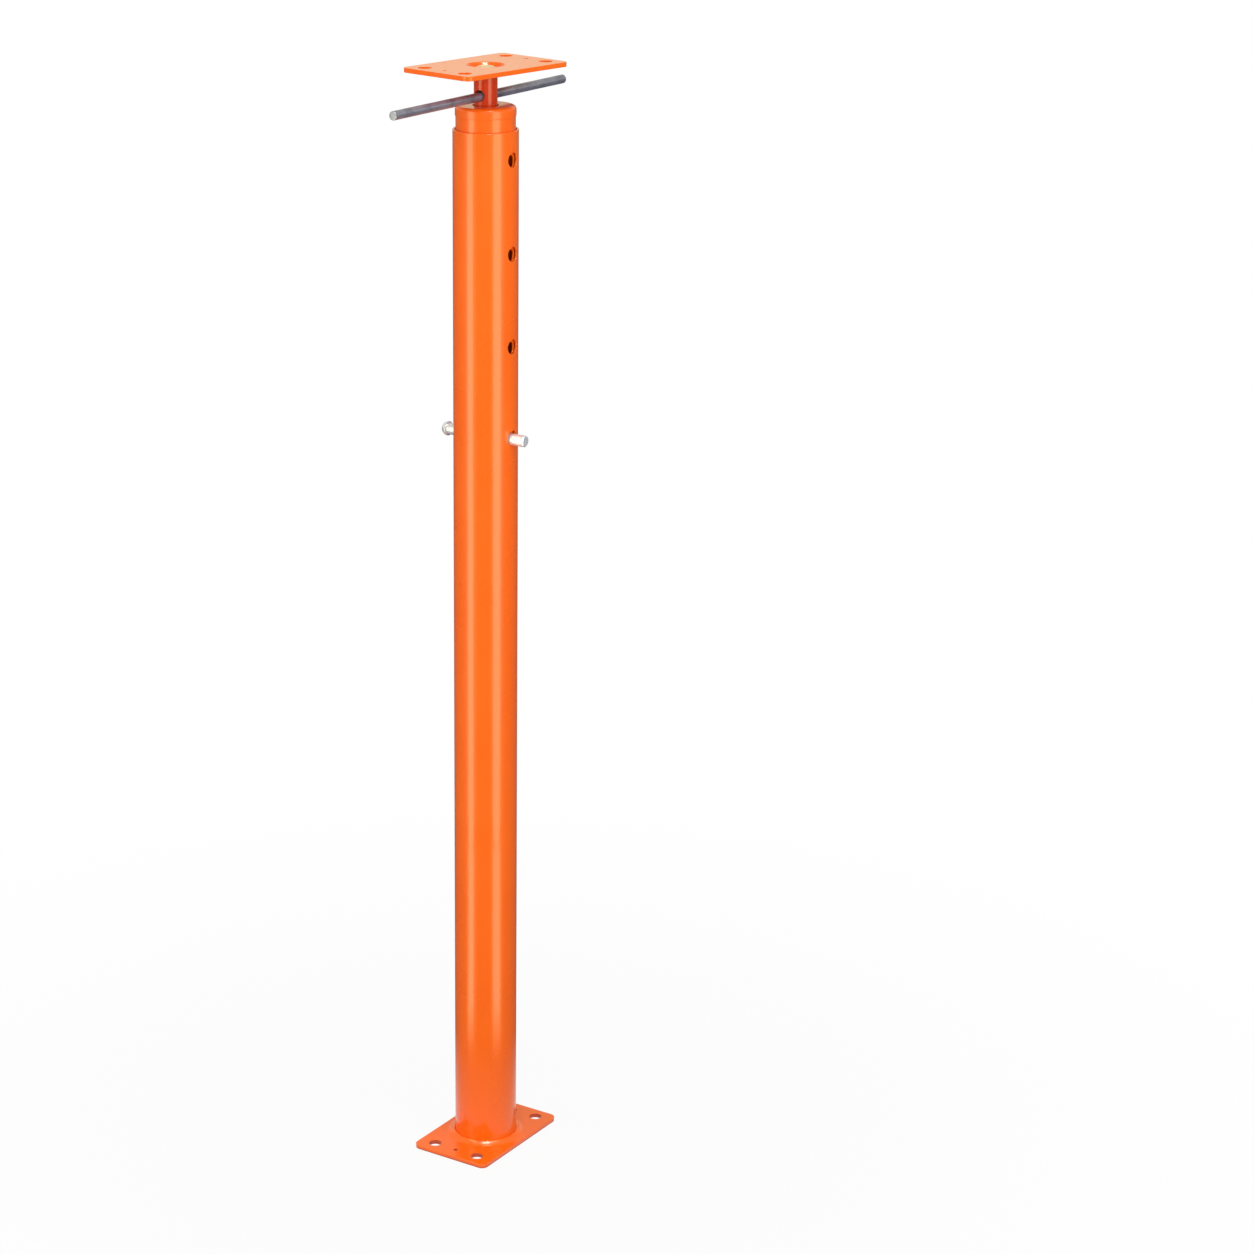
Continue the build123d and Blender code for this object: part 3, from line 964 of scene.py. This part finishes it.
def powder_coat(name, colour, deep, roughness=0.28, gloss=0.6, thin=None):
    """Glossy powder coat: fine orange peel, a slow change of depth, and a few dust nibs.

    Where a darker colour is given too, it paints shade into the base plate's holes and lower edge.
    """
    material, tree, shader = node_tree(name)
    place = object_coordinates(tree)
    slow = noise(tree, place, scale=14.0, detail=1.0)
    peel = noise(tree, place, scale=620.0, detail=1.0)
    swell = noise(tree, place, scale=160.0, detail=1.0)
    nibs = noise(tree, place, scale=420.0, kind="ShaderNodeTexVoronoi")
    noise_range = (0.2, 0.8)
    depth = remap(tree, slow.outputs["Fac"], noise_range, (0.0, 1.0))
    mixed = colour_mix(tree, depth, deep, colour)
    # Painted shade: the given darker colour is mixed in at the base plate's holes and lower edge.
    if thin is not None:
        mixed = colour_mix(tree, painted_shade_places(tree), mixed, thin)
    tree.links.new(mixed, shader.inputs["Base Color"])
    tree.links.new(
        remap(tree, slow.outputs["Fac"], noise_range, (roughness - 0.03, roughness + 0.04)),
        shader.inputs["Roughness"],
    )
    shader.inputs["Specular IOR Level"].default_value = 0.3
    shader.inputs["Coat Weight"].default_value = gloss
    shader.inputs["Coat Roughness"].default_value = 0.055
    under = bump(tree, shader, swell.outputs["Fac"], strength=0.04, distance=0.5 * MM)
    fine = bump(tree, shader, peel.outputs["Fac"], strength=0.03, distance=0.2 * MM, below=under)
    nib = remap(tree, nibs.outputs["Distance"], (0.0, 0.05), (1.0, 0.0))
    bump(tree, shader, nib, strength=0.03, distance=0.1 * MM, below=fine)
    return material


def bright_metal(name, colour, roughness, scale, stretch, mottle, relief=0.05, bare=0.85):
    """Bare or plated steel: fine marks drawn along one way, and a soft mottle in tone and gloss."""
    material, tree, shader = node_tree(name)
    place = object_coordinates(tree)
    drawn = object_coordinates(tree, stretch)
    cloud = noise(tree, place, scale, detail=4.0, roughness=0.6)
    marks = noise(tree, drawn, scale * 4.0, detail=2.0)
    dark = tuple(c * (1.0 - 2.0 * mottle) for c in colour)
    light = tuple(min(1.0, c * (1.0 + mottle)) for c in colour)
    noise_range = (0.3, 0.7)
    tone = remap(tree, cloud.outputs["Fac"], noise_range, (0.0, 1.0))
    tree.links.new(colour_mix(tree, tone, dark, light), shader.inputs["Base Color"])
    tree.links.new(
        remap(tree, cloud.outputs["Fac"], noise_range, (roughness + 0.07, roughness - 0.05)),
        shader.inputs["Roughness"],
    )
    shader.inputs["Metallic"].default_value = bare
    bump(tree, shader, marks.outputs["Fac"], strength=relief, distance=0.2 * MM)
    return material


finishes = {}


def finish(name, maker, colour, **details):
    """A finish by name, made on first use from one of the post's colours."""
    if name not in finishes:
        colours = bpy.context.scene.post_colours
        finishes[name] = maker(name, getattr(colours, colour), **details)
    return finishes[name]


def orange_coat(name="glossy_orange_coat", **details):
    """The post's orange powder coat."""
    deep = bpy.context.scene.post_colours.orange_deep
    return finish(name, powder_coat, "orange", deep=deep, **details)


def base_plate_coat():
    """The base plate's orange coat, with painted shade in its holes and along its lower edge."""
    return orange_coat("worn_orange_coat", thin=bpy.context.scene.post_colours.thin_coat)


def cap_coat():
    """The post's orange coat, more satin on the cap."""
    return orange_coat("satin_orange_coat", roughness=0.3, gloss=0.5)


def sleeve_coat():
    """The darker coat on the screw's sleeve."""
    thin_share = 0.82
    deep = tuple(c * thin_share for c in bpy.context.scene.post_colours.sleeve)
    return finish(
        "dark_sleeve_coat", powder_coat, "sleeve", deep=deep, roughness=0.26, gloss=0.34
    )


def zinc_plate():
    """Satin zinc on the screw and the washer."""
    return finish(
        "satin_zinc", bright_metal, "zinc",
        roughness=0.38, scale=90.0, stretch=(1.0, 1.0, 4.0), mottle=0.1,
    )


def bright_pin():
    """Bright plating on the locking pin, with fine turned marks."""
    return finish(
        "bright_plating", bright_metal, "pin",
        roughness=0.3, scale=60.0, stretch=(1.0, 9.0, 1.0), mottle=0.05, bare=0.6,
    )


def bar_steel():
    """Blue-grey drawn steel of the turning bar, faintly mottled."""
    return finish(
        "drawn_steel", bright_metal, "bar",
        roughness=0.32, scale=55.0, stretch=(0.15, 4.0, 4.0), mottle=0.2, relief=0.03, bare=0.6,
    )


def plain_steel():
    """Oiled steel of the nut, its weld and other hidden parts."""
    return finish(
        "oiled_steel", bright_metal, "steel",
        roughness=0.38, scale=120.0, stretch=(1.0, 1.0, 6.0), mottle=0.2, relief=0.1,
    )


class PostOperator(bpy.types.Operator):
    """Shared settings of the post's operators."""

    bl_options = {"REGISTER", "UNDO"}


class POST_OT_base_plate(PostOperator):
    """Build the base plate, whose collar is drawn up round the tube's foot"""

    bl_idname = "post.base_plate"
    bl_label = "Base plate"

    def execute(self, context):
        sizes = context.scene.post_plates
        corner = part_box("base_plate")[1]
        collar_margin, collar_parts = 1.4 * MM, 28
        bore = radius_of("outer_tube") + sizes.collar_clearance
        lip = bore + sizes.collar_lip
        top = sizes.thickness + sizes.collar_height
        flare = sizes.collar_flare_radius
        rise = flare - sizes.collar_height
        foot = lip + np.sqrt(flare**2 - rise**2)
        centre = np.array([foot, sizes.thickness + flare])
        round_ = sizes.collar_lip_radius
        drop = centre[1] - (top - round_)
        lip_centre = np.array([foot - np.sqrt((flare + round_) ** 2 - drop**2), top - round_])
        meet = np.degrees(np.arctan2(*(lip_centre - centre)[::-1]))
        draw = sizes.collar_draw_radius
        collar = chain(
            arc(centre, flare, -90.0, meet, 12, -1.0),
            arc(lip_centre, round_, meet + 180.0, 90.0, 5),
            arc((bore + round_, top - round_), round_, 90.0, 180.0, 6),
            arc((bore + draw, draw), draw, 180.0, 270.0, 8),
        )
        wells = plate_holes(sizes)
        wells.append((0.0, 0.0, foot + collar_margin, collar_parts, *collar))
        parts = drilled_plate(
            corner.x, corner.y, sizes.corner_radius, sizes.edge_radius, sizes.thickness, wells
        )
        make_piece(
            "base_plate_dressed", parts, "outer_post",
            ["base_plate"], base_plate_coat(),
        )
        return {"FINISHED"}


class POST_OT_foot_weld(PostOperator):
    """Build the weld under the plate that holds the tube's foot, with the ripples of its bead"""

    bl_idname = "post.foot_weld"
    bl_label = "Foot weld"

    def execute(self, context):
        sizes = context.scene.post_plates
        gap = 0.01 * MM
        toe = 0.1 * MM
        top_drop = 0.02 * MM
        ripples, steps_per_ripple, ripple_height = 60, 3, 0.12 * MM
        inner = radius_of("outer_tube") + gap
        draw = sizes.collar_draw_radius
        bore = radius_of("outer_tube") + sizes.collar_clearance
        low = bottom_of("foot_weld")
        start = np.degrees(np.arcsin((draw - low) / draw))
        hollow = arc((bore + draw, draw), draw + gap, 180.0 + start, 181.0, 6, -1.0)
        outline, normals = chain(
            (np.array([[inner, low]]), np.array([[-0.6, -0.8]])),
            (np.array([[hollow[0][0, 0] - toe, low]]), np.array([[0.0, -1.0]])),
            hollow,
            (np.array([[inner, draw - top_drop]]), np.array([[-0.6, 0.8]])),
        )
        angles = np.linspace(0.0, 2 * np.pi, ripples * steps_per_ripple + 1)
        parts = [turned_shape(outline, normals, angles=angles)]
        places = parts[0][0].reshape(len(outline) + 1, len(angles), 3)
        bottom_and_top = (0, 1, -1)
        for row in bottom_and_top:
            places[row, :, 2] += ripple_height * (0.5 + 0.5 * np.cos(angles * ripples))
        make_piece(
            "foot_weld_bead", parts, "outer_post",
            ["foot_weld"], orange_coat(),
        )
        return {"FINISHED"}


class POST_OT_tubes(PostOperator):
    """Build the outer and the inner tube with their pin holes"""

    bl_idname = "post.tubes"
    bl_label = "Tubes"

    def execute(self, context):
        sizes = context.scene.post_sizes
        rows = (
            ("outer_tube", "outer_post", sizes.outer_hole_drop, sizes.outer_hole_count,
             sizes.outer_hole_radius),
            ("inner_tube", "inner_post", sizes.inner_hole_drop, sizes.inner_hole_count,
             sizes.inner_hole_radius),
        )
        for node, body, drop, count, hole in rows:
            heights = top_of(node) - drop - sizes.hole_pitch * np.arange(count)
            parts = bored_tube(
                radius_of(node), radius_of(node) - sizes.tube_wall, bottom_of(node),
                top_of(node), sizes.tube_rim, heights, hole, sizes.hole_rim,
            )
            make_piece(
                f"{node}_dressed", parts, body, [node], orange_coat()
            )
        return {"FINISHED"}


class POST_OT_cap(PostOperator):
    """Build the cap on the inner tube"""

    bl_idname = "post.cap"
    bl_label = "Cap"

    def execute(self, context):
        sizes = context.scene.post_screw
        low, high = bottom_of("tube_cap"), top_of("tube_cap")
        rim = top_of("inner_tube")
        play = 0.1 * MM
        spigot = radius_of("inner_tube") - context.scene.post_sizes.tube_wall - play
        cavity = spigot - sizes.cap_spigot_wall
        under = high - sizes.cap_top_thickness
        edge = radius_of("tube_cap")
        shoulder = sizes.cap_shoulder
        outline, normals = rounded_outline(
            [
                (cavity, low),
                (spigot, low),
                (spigot, rim),
                (edge, rim),
                (edge, high),
                (sizes.cap_hole_radius, high),
                (sizes.cap_hole_radius, under),
                (cavity, under),
            ],
            [0.3 * MM, 0.3 * MM, 0.15 * MM, 0.45 * MM, shoulder, 0.5 * MM, 0.4 * MM, 1.0 * MM],
            steps=6,
        )
        make_piece(
            "cap_dressed", [turned_shape(outline, normals)], "inner_post",
            ["tube_cap"], cap_coat(),
        )
        return {"FINISHED"}


class POST_OT_screw(PostOperator):
    """Build the screw: thread, shank with its cross hole, tenon and peened head"""

    bl_idname = "post.screw"
    bl_label = "Screw"

    def execute(self, context):
        sizes = context.scene.post_screw
        root = radius_of("jack_screw") - sizes.thread_depth
        low, high = bottom_of("jack_screw"), top_of("jack_screw")
        sleeve_low, sleeve_high = bottom_of("screw_sleeve"), top_of("screw_sleeve")
        thread_low = low + sizes.tip
        shank_high = sleeve_high - 0.6 * MM
        hole_height = sleeve_high - sizes.cross_hole_drop
        heading = bar_heading() + np.pi / 2
        shank, angles = bored_shank(
            root, sleeve_low, shank_high, hole_height,
            sizes.cross_hole_radius, sizes.cross_hole_rim,
        )
        tip, tip_normals = rounded_outline(
            [
                (0.0, low),
                (root - sizes.tip_chamfer, low),
                (root, low + sizes.tip_chamfer),
                (root, thread_low),
            ],
            0.3 * MM,
            closed=False,
            steps=3,
        )
        head_low = high - sizes.rivet_height
        head, head_normals = rounded_outline(
            [
                (root, shank_high),
                (root, sleeve_high),
                (sizes.tenon_radius, sleeve_high),
                (sizes.tenon_radius, head_low),
                (sizes.rivet_radius, head_low),
                (sizes.rivet_radius, head_low + sizes.rivet_height / 3),
                (sizes.tenon_radius, high),
                (0.0, high),
            ],
            np.array([0.0, 0.3, 0.2, 0.08, 0.2, 0.6, 1.6, 0.0]) * MM,
            closed=False,
            steps=4,
        )
        parts = [
            turned_shape(tip, tip_normals, closed=False, angles=angles),
            threaded_rod(
                root, thread_low, sleeve_low, sizes, thread_low, angles,
                angles[0] - np.pi / 2 + heading,
            ),
            *shank,
            turned_shape(head, head_normals, closed=False, angles=angles),
        ]
        make_piece(
            "screw_dressed", moved(parts, turn_about_z(heading)), "screw",
            ["jack_screw"], zinc_plate(),
        )
        return {"FINISHED"}


class POST_OT_sleeve(PostOperator):
    """Build the sleeve on the screw, with the cross hole for the bar"""

    bl_idname = "post.sleeve"
    bl_label = "Sleeve"

    def execute(self, context):
        sizes = context.scene.post_screw
        low, high = bottom_of("screw_sleeve"), top_of("screw_sleeve")
        outer = radius_of("screw_sleeve")
        inner = radius_of("jack_screw") - sizes.thread_depth + sizes.fit_gap
        rim = 0.5 * MM
        parts = bored_tube(
            outer, inner, low, high, rim, [high - sizes.cross_hole_drop],
            sizes.cross_hole_radius, sizes.cross_hole_rim, side_parts=20,
        )
        make_piece(
            "sleeve_dressed", moved(parts, turn_about_z(bar_heading() + np.pi / 2)), "screw",
            ["screw_sleeve"], sleeve_coat(),
        )
        return {"FINISHED"}


class POST_OT_bar(PostOperator):
    """Build the turning bar"""

    bl_idname = "post.bar"
    bl_label = "Turning bar"

    def execute(self, context):
        sizes = context.scene.post_sizes
        low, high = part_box("turning_bar")
        half_length = sizes.bar_length / 2
        radius = sizes.bar_radius
        end_radius = 0.7 * MM
        outline, normals = rounded_outline(
            [
                (0.0, -half_length),
                (radius, -half_length),
                (radius, half_length),
                (0.0, half_length),
            ],
            end_radius,
            closed=False,
            steps=5,
        )
        heading = bar_heading()
        along = np.array([np.cos(heading), np.sin(heading), 0.0])
        up = np.array(UP)
        turn = np.stack([up, np.cross(along, up), along], axis=-1)
        centre = along * sizes.bar_offset + up * (low.z + high.z) / 2
        parts = [turned_shape(outline, normals, closed=False)]
        make_piece(
            "bar_dressed", moved(parts, turn, centre), "bar",
            ["turning_bar"], bar_steel(),
        )
        return {"FINISHED"}


class POST_OT_washer(PostOperator):
    """Build the washer in the top plate's dish"""

    bl_idname = "post.washer"
    bl_label = "Washer"

    def execute(self, context):
        sizes = context.scene.post_screw
        bore = sizes.tenon_radius + sizes.tenon_clearance
        edge = radius_of("retaining_washer")
        low, high = bottom_of("retaining_washer"), top_of("retaining_washer")
        edge_radius = 0.35 * MM
        outline, normals = rounded_outline(
            [(bore, low), (edge, low), (edge, high), (bore, high)], edge_radius
        )
        make_piece(
            "washer_dressed", [turned_shape(outline, normals)], "lift_collar",
            ["retaining_washer"], zinc_plate(),
        )
        return {"FINISHED"}


class POST_OT_top_plate(PostOperator):
    """Build the top plate with the dish pressed into its middle"""

    bl_idname = "post.top_plate"
    bl_label = "Top plate"

    def execute(self, context):
        sizes = context.scene.post_plates
        screw = context.scene.post_screw
        bore = screw.tenon_radius + screw.tenon_clearance
        thickness = sizes.thickness
        floor = thickness - sizes.dish_depth
        height = top_of("top_plate") - thickness
        below = bottom_of("top_plate") - height
        opening = sizes.dish_open_radius
        opening_below = opening + sizes.dish_spread
        lip = sizes.dish_lip_radius
        margin, margin_below = 3.5 * MM, 2.5 * MM
        dish_cell, dish_parts = 27.0 * MM, 20
        dish = rounded_outline(
            [
                (opening + margin, thickness),
                (opening, thickness),
                (sizes.dish_floor_radius, floor),
                (bore, floor),
                (bore, below),
                (sizes.dish_floor_radius + sizes.dish_spread, below),
                (opening_below, 0.0),
                (opening_below + margin_below, 0.0),
            ],
            [0.0, lip, 1.0 * MM, 0.3 * MM, 0.4 * MM, lip, lip, 0.0],
            closed=False,
            steps=6,
        )
        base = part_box("base_plate")[1]
        wells = plate_holes(sizes)
        wells.append((0.0, 0.0, dish_cell, dish_parts, *dish))
        parts = drilled_plate(
            base.x, base.y, sizes.corner_radius, sizes.edge_radius, thickness, wells
        )
        far = mounts["top_bolts_far_end"]["pos_m"]
        near = mounts["top_bolts_near_end"]["pos_m"]
        heading = np.arctan2(far[1] - near[1], far[0] - near[0])
        make_piece(
            "top_plate_dressed", moved(parts, turn_about_z(heading), (0.0, 0.0, height)),
            "head_plate", ["top_plate"], orange_coat(),
        )
        return {"FINISHED"}


class POST_OT_pin(PostOperator):
    """Build the locking pin: chamfered free end and domed head"""

    bl_idname = "post.pin"
    bl_label = "Locking pin"

    def execute(self, context):
        sizes = context.scene.post_sizes
        low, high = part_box("locking_pin")
        head = high.x
        dome = sizes.pin_head_dome
        seat = high.y - dome - sizes.pin_head_land
        sphere = (head**2 + dome**2) / (2 * dome)
        limit = np.degrees(np.arcsin(min(1.0, head / sphere)))
        body = rounded_outline(
            [
                (0.0, low.y),
                (sizes.pin_radius - sizes.pin_chamfer, low.y),
                (sizes.pin_radius, low.y + sizes.pin_chamfer),
                (sizes.pin_radius, seat),
                (head, seat),
                (head, seat + sizes.pin_head_land),
            ],
            np.array([0.0, 0.4, 0.4, 0.3, 0.35, 0.0]) * MM,
            closed=False,
            steps=4,
        )
        cap = arc((0.0, high.y - sphere), sphere, 90.0 - limit, 90.0, 16)
        outline, normals = chain(body, cap)
        parts = [turned_shape(outline, normals, closed=False)]
        turn = np.array([[1.0, 0.0, 0.0], [0.0, 0.0, 1.0], [0.0, -1.0, 0.0]])
        make_piece(
            "pin_dressed", moved(parts, turn, (0.0, 0.0, (low.z + high.z) / 2)), "pin",
            ["locking_pin"], bright_pin(),
        )
        return {"FINISHED"}


class POST_OT_hidden_steel(PostOperator):
    """Give the nut and its weld, inside the cap, their oiled steel"""

    bl_idname = "post.hidden_steel"
    bl_label = "Nut and weld"

    def execute(self, context):
        for node in ("screw_nut", "nut_weld"):
            piece = frame["nodes"][node]
            if not piece.material_slots:
                piece.data.materials.append(None)
            for material_slot in piece.material_slots:
                material_slot.material = plain_steel()
        return {"FINISHED"}


class POST_OT_studio(PostOperator):
    """Set up the pale floor, the lamps and the camera"""

    bl_idname = "post.studio"
    bl_label = "Studio"

    def execute(self, context):
        scene = context.scene
        settings = scene.post_studio
        toward = view_direction(settings.azimuth, settings.elevation)
        target = Vector((0.0, 0.0, settings.target_height))
        data = bpy.data.cameras.new("view")
        data.lens = settings.lens
        data.sensor_width = 36.0
        data.shift_x = settings.shift
        data.clip_end = 50.0
        camera = bpy.data.objects.new("view", data)
        camera.location = target + toward * settings.distance
        camera.rotation_euler = toward.to_track_quat("Z", "Y").to_euler()
        scene.collection.objects.link(camera)
        scene.camera = camera
        scene.view_settings.view_transform = "Standard"
        white_floor(scene, settings)
        white_surroundings(scene, settings)
        for name, offset, width, distance, height, length, share, matt in STRIPS:
            side = view_direction(settings.azimuth + np.radians(offset), 0.0)
            place = side * distance + Vector((0.0, 0.0, height))
            tint = WHITE if matt else STRIP_TINT
            panel_lamp(
                name, place, side, (width, length), settings.strip_radiance * share,
                matt=matt, gloss=not matt, tint=tint,
            )
        overhead = Vector(UP)
        above = view_direction(settings.azimuth + np.radians(6.0), np.radians(64.0))
        ahead = view_direction(settings.azimuth - np.radians(4.0), np.radians(16.0))
        core_share = 8.0
        panel_lamp(
            "top", overhead * 3.2, overhead, size=(2.2, 2.2), radiance=settings.top_radiance
        )
        panel_lamp(
            "key", target + above * 2.6, above, size=(1.3, 1.7), radiance=settings.key_radiance
        )
        panel_lamp(
            "key_core", target + above * 2.5, above, size=(0.9, 0.8),
            radiance=settings.key_radiance * core_share, matt=False, tint=(1.0, 1.0, 0.8),
        )
        panel_lamp(
            "fill", target + ahead * 3.0, ahead, size=(1.6, 1.2),
            radiance=settings.fill_radiance, gloss=False,
        )
        return {"FINISHED"}


def view_direction(azimuth, elevation):
    """The direction from the target to a camera at that azimuth and elevation."""
    return Vector(
        (
            np.sin(azimuth) * np.cos(elevation),
            -np.cos(azimuth) * np.cos(elevation),
            np.sin(elevation),
        )
    )


def panel_lamp(name, place, away, size, radiance, matt=True, gloss=True, tint=WHITE):
    """A rectangular lamp that faces against a direction. Its power is radiance x area x pi."""
    data = bpy.data.lights.new(name, "AREA")
    data.shape = "RECTANGLE"
    data.size, data.size_y = size
    data.energy = radiance * size[0] * size[1] * np.pi
    data.color = tint
    lamp = bpy.data.objects.new(name, data)
    lamp.location = place
    lamp.rotation_euler = away.to_track_quat("Z", "Y").to_euler()
    lamp.visible_camera = False
    lamp.visible_diffuse = matt
    lamp.visible_glossy = gloss
    bpy.context.scene.collection.objects.link(lamp)


def mirrored_strips(tree, settings, place, away):
    """The gloss lamps' image in the floor, from near the post to each lamp's foot.

    A point is in a lamp's image where its direction from the post's axis, dotted with the lamp's
    direction, is over the cosine of half the lamp's width as seen from the axis. Gives the
    image's brightness.
    """
    toward = vector_step(tree, "NORMALIZE", place)
    start_range = (0.27, 0.42)
    soft_edge = 0.06
    soft_end = 0.01
    fade_in = remap(tree, away, start_range, (0.0, 1.0))
    total = None
    for _, offset, width, distance, _, _, share, matt in STRIPS:
        if matt:
            continue
        side = view_direction(settings.azimuth + np.radians(offset), 0.0)
        aligned = vector_step(tree, "DOT_PRODUCT", toward, side)
        half = np.arctan(width / 2 / distance)
        edge = (np.cos(half * (1.0 + soft_edge)), np.cos(half * (1.0 - soft_edge)))
        inside = remap(tree, aligned, edge, (0.0, settings.strip_radiance * share))
        before = remap(tree, away, (distance - soft_end, distance), (1.0, 0.0))
        ended = scalar_step(tree, "MULTIPLY", inside, before)
        image = scalar_step(tree, "MULTIPLY", ended, fade_in)
        total = image if total is None else scalar_step(tree, "ADD", total, image)
    return total


def white_floor(scene, settings):
    """A pale floor: nearly white to the camera, and dim in gloss but for the lamps' image.

    Round the post a little of its matt surface shows through, which keeps a faint shadow.
    """
    mesh = bpy.data.meshes.new("floor")
    reach = 6.0
    mesh.from_pydata(
        [(-reach, -reach, 0.0), (reach, -reach, 0.0), (reach, reach, 0.0), (-reach, reach, 0.0)],
        [],
        [(0, 1, 2, 3)],
    )
    floor = bpy.data.objects.new("floor", mesh)
    scene.collection.objects.link(floor)
    material = bpy.data.materials.new("floor")
    material.use_nodes = True
    tree = material.node_tree
    tree.nodes.clear()
    output = tree.nodes.new("ShaderNodeOutputMaterial")
    matt = tree.nodes.new("ShaderNodeBsdfDiffuse")
    matt.inputs["Color"].default_value = (0.4, 0.4, 0.4, 1.0)
    glow = tree.nodes.new("ShaderNodeEmission")
    path = tree.nodes.new("ShaderNodeLightPath")
    in_view, in_gloss = path.outputs["Is Camera Ray"], path.outputs["Is Glossy Ray"]
    place = tree.nodes.new("ShaderNodeTexCoord").outputs["Object"]
    away = vector_step(tree, "LENGTH", place)
    whiteness = remap(tree, away, (0.2, 1.1), (0.95, 1.0))
    dimmed = remap(tree, away, (0.1, 0.3), (0.8, 0.13))
    bands = scalar_step(tree, "MULTIPLY", mirrored_strips(tree, settings, place, away), in_gloss)
    hue = colour_mix(tree, remap(tree, bands, (0.0, 0.5), (0.0, 1.0)), WHITE, STRIP_TINT)
    tree.links.new(hue, glow.inputs["Color"])
    strength = value_mix(tree, in_view, scalar_step(tree, "ADD", dimmed, bands), 1.0)
    tree.links.new(strength, glow.inputs["Strength"])
    white_share = scalar_step(tree, "MULTIPLY", in_view, whiteness)
    blend = tree.nodes.new("ShaderNodeMixShader")
    tree.links.new(scalar_step(tree, "MAXIMUM", white_share, in_gloss), blend.inputs[0])
    tree.links.new(matt.outputs[0], blend.inputs[1])
    tree.links.new(glow.outputs[0], blend.inputs[2])
    tree.links.new(blend.outputs[0], output.inputs["Surface"])
    mesh.materials.append(material)


def white_surroundings(scene, settings):
    """Surroundings that look white and light matt surfaces evenly, but are uneven in gloss.

    There they are bright behind the post, dim on the camera's side and near the ground, and a
    little dimmer high up.
    """
    world = bpy.data.worlds.new("studio")
    world.use_nodes = True
    scene.world = world
    tree = world.node_tree
    tree.nodes.clear()
    output = tree.nodes.new("ShaderNodeOutputWorld")
    sky = tree.nodes.new("ShaderNodeBackground")
    path = tree.nodes.new("ShaderNodeLightPath")
    in_gloss = path.outputs["Is Glossy Ray"]
    tree.links.new(colour_mix(tree, in_gloss, WHITE, (1.0, 0.96, 0.68)), sky.inputs["Color"])
    direction = tree.nodes.new("ShaderNodeTexCoord").outputs["Generated"]
    toward = vector_step(tree, "DOT_PRODUCT", direction, view_direction(settings.azimuth, 0.0))
    behind = remap(tree, toward, (-0.2, 0.5), (1.0, 0.06))
    rise = vector_step(tree, "DOT_PRODUCT", direction, UP)
    horizon = remap(tree, rise, (0.14, 0.45), (1.0, 0.6))
    ground = remap(tree, rise, (0.03, 0.13), (0.25, 1.0))
    height = scalar_step(tree, "MULTIPLY", horizon, ground)
    backdrop = scalar_step(tree, "MULTIPLY", behind, height)
    clear = scalar_step(
        tree, "MAXIMUM", path.outputs["Is Camera Ray"], path.outputs["Is Transmission Ray"]
    )
    level = value_mix(tree, clear, value_mix(tree, in_gloss, settings.ambient, backdrop), 1.0)
    tree.links.new(level, sky.inputs["Strength"])
    tree.links.new(sky.outputs[0], output.inputs["Surface"])


def bar_heading():
    """The turning bar's direction about Z, from its joint's axis."""
    axis = joints["bar_slide"]["axis"]
    return float(np.arctan2(axis[1], axis[0]))


class POST_PT_panel(bpy.types.Panel):
    """The jack post's operators in the 3D view's sidebar"""

    bl_label = "Jack post"
    bl_idname = "POST_PT_panel"
    bl_space_type = "VIEW_3D"
    bl_region_type = "UI"
    bl_category = "Jack post"

    def draw(self, context):
        column = self.layout.column(align=True)
        for operator in OPERATORS:
            column.operator(operator.bl_idname)


GROUPS = {
    "post_sizes": PostSizes,
    "post_plates": PlateSizes,
    "post_screw": ScrewSizes,
    "post_colours": PostColours,
    "post_studio": StudioSettings,
}
OPERATORS = (
    POST_OT_base_plate,
    POST_OT_foot_weld,
    POST_OT_tubes,
    POST_OT_cap,
    POST_OT_screw,
    POST_OT_sleeve,
    POST_OT_bar,
    POST_OT_washer,
    POST_OT_top_plate,
    POST_OT_pin,
    POST_OT_hidden_steel,
    POST_OT_studio,
)


def register():
    """Register the classes and hang the settings on the scene."""
    for group in GROUPS.values():
        bpy.utils.register_class(group)
    for operator in OPERATORS:
        bpy.utils.register_class(operator)
    bpy.utils.register_class(POST_PT_panel)
    for name, group in GROUPS.items():
        setattr(bpy.types.Scene, name, PointerProperty(type=group))


def unregister():
    """Undo register."""
    for name in GROUPS:
        delattr(bpy.types.Scene, name)
    bpy.utils.unregister_class(POST_PT_panel)
    for operator in reversed(OPERATORS):
        bpy.utils.unregister_class(operator)
    for group in reversed(GROUPS.values()):
        bpy.utils.unregister_class(group)


def main():
    """Build every piece and the studio."""
    register()
    for operator in OPERATORS:
        group, name = operator.bl_idname.split(".")
        getattr(getattr(bpy.ops, group), name)()
    bpy.context.view_layer.update()


if __name__ == "__main__":
    main()
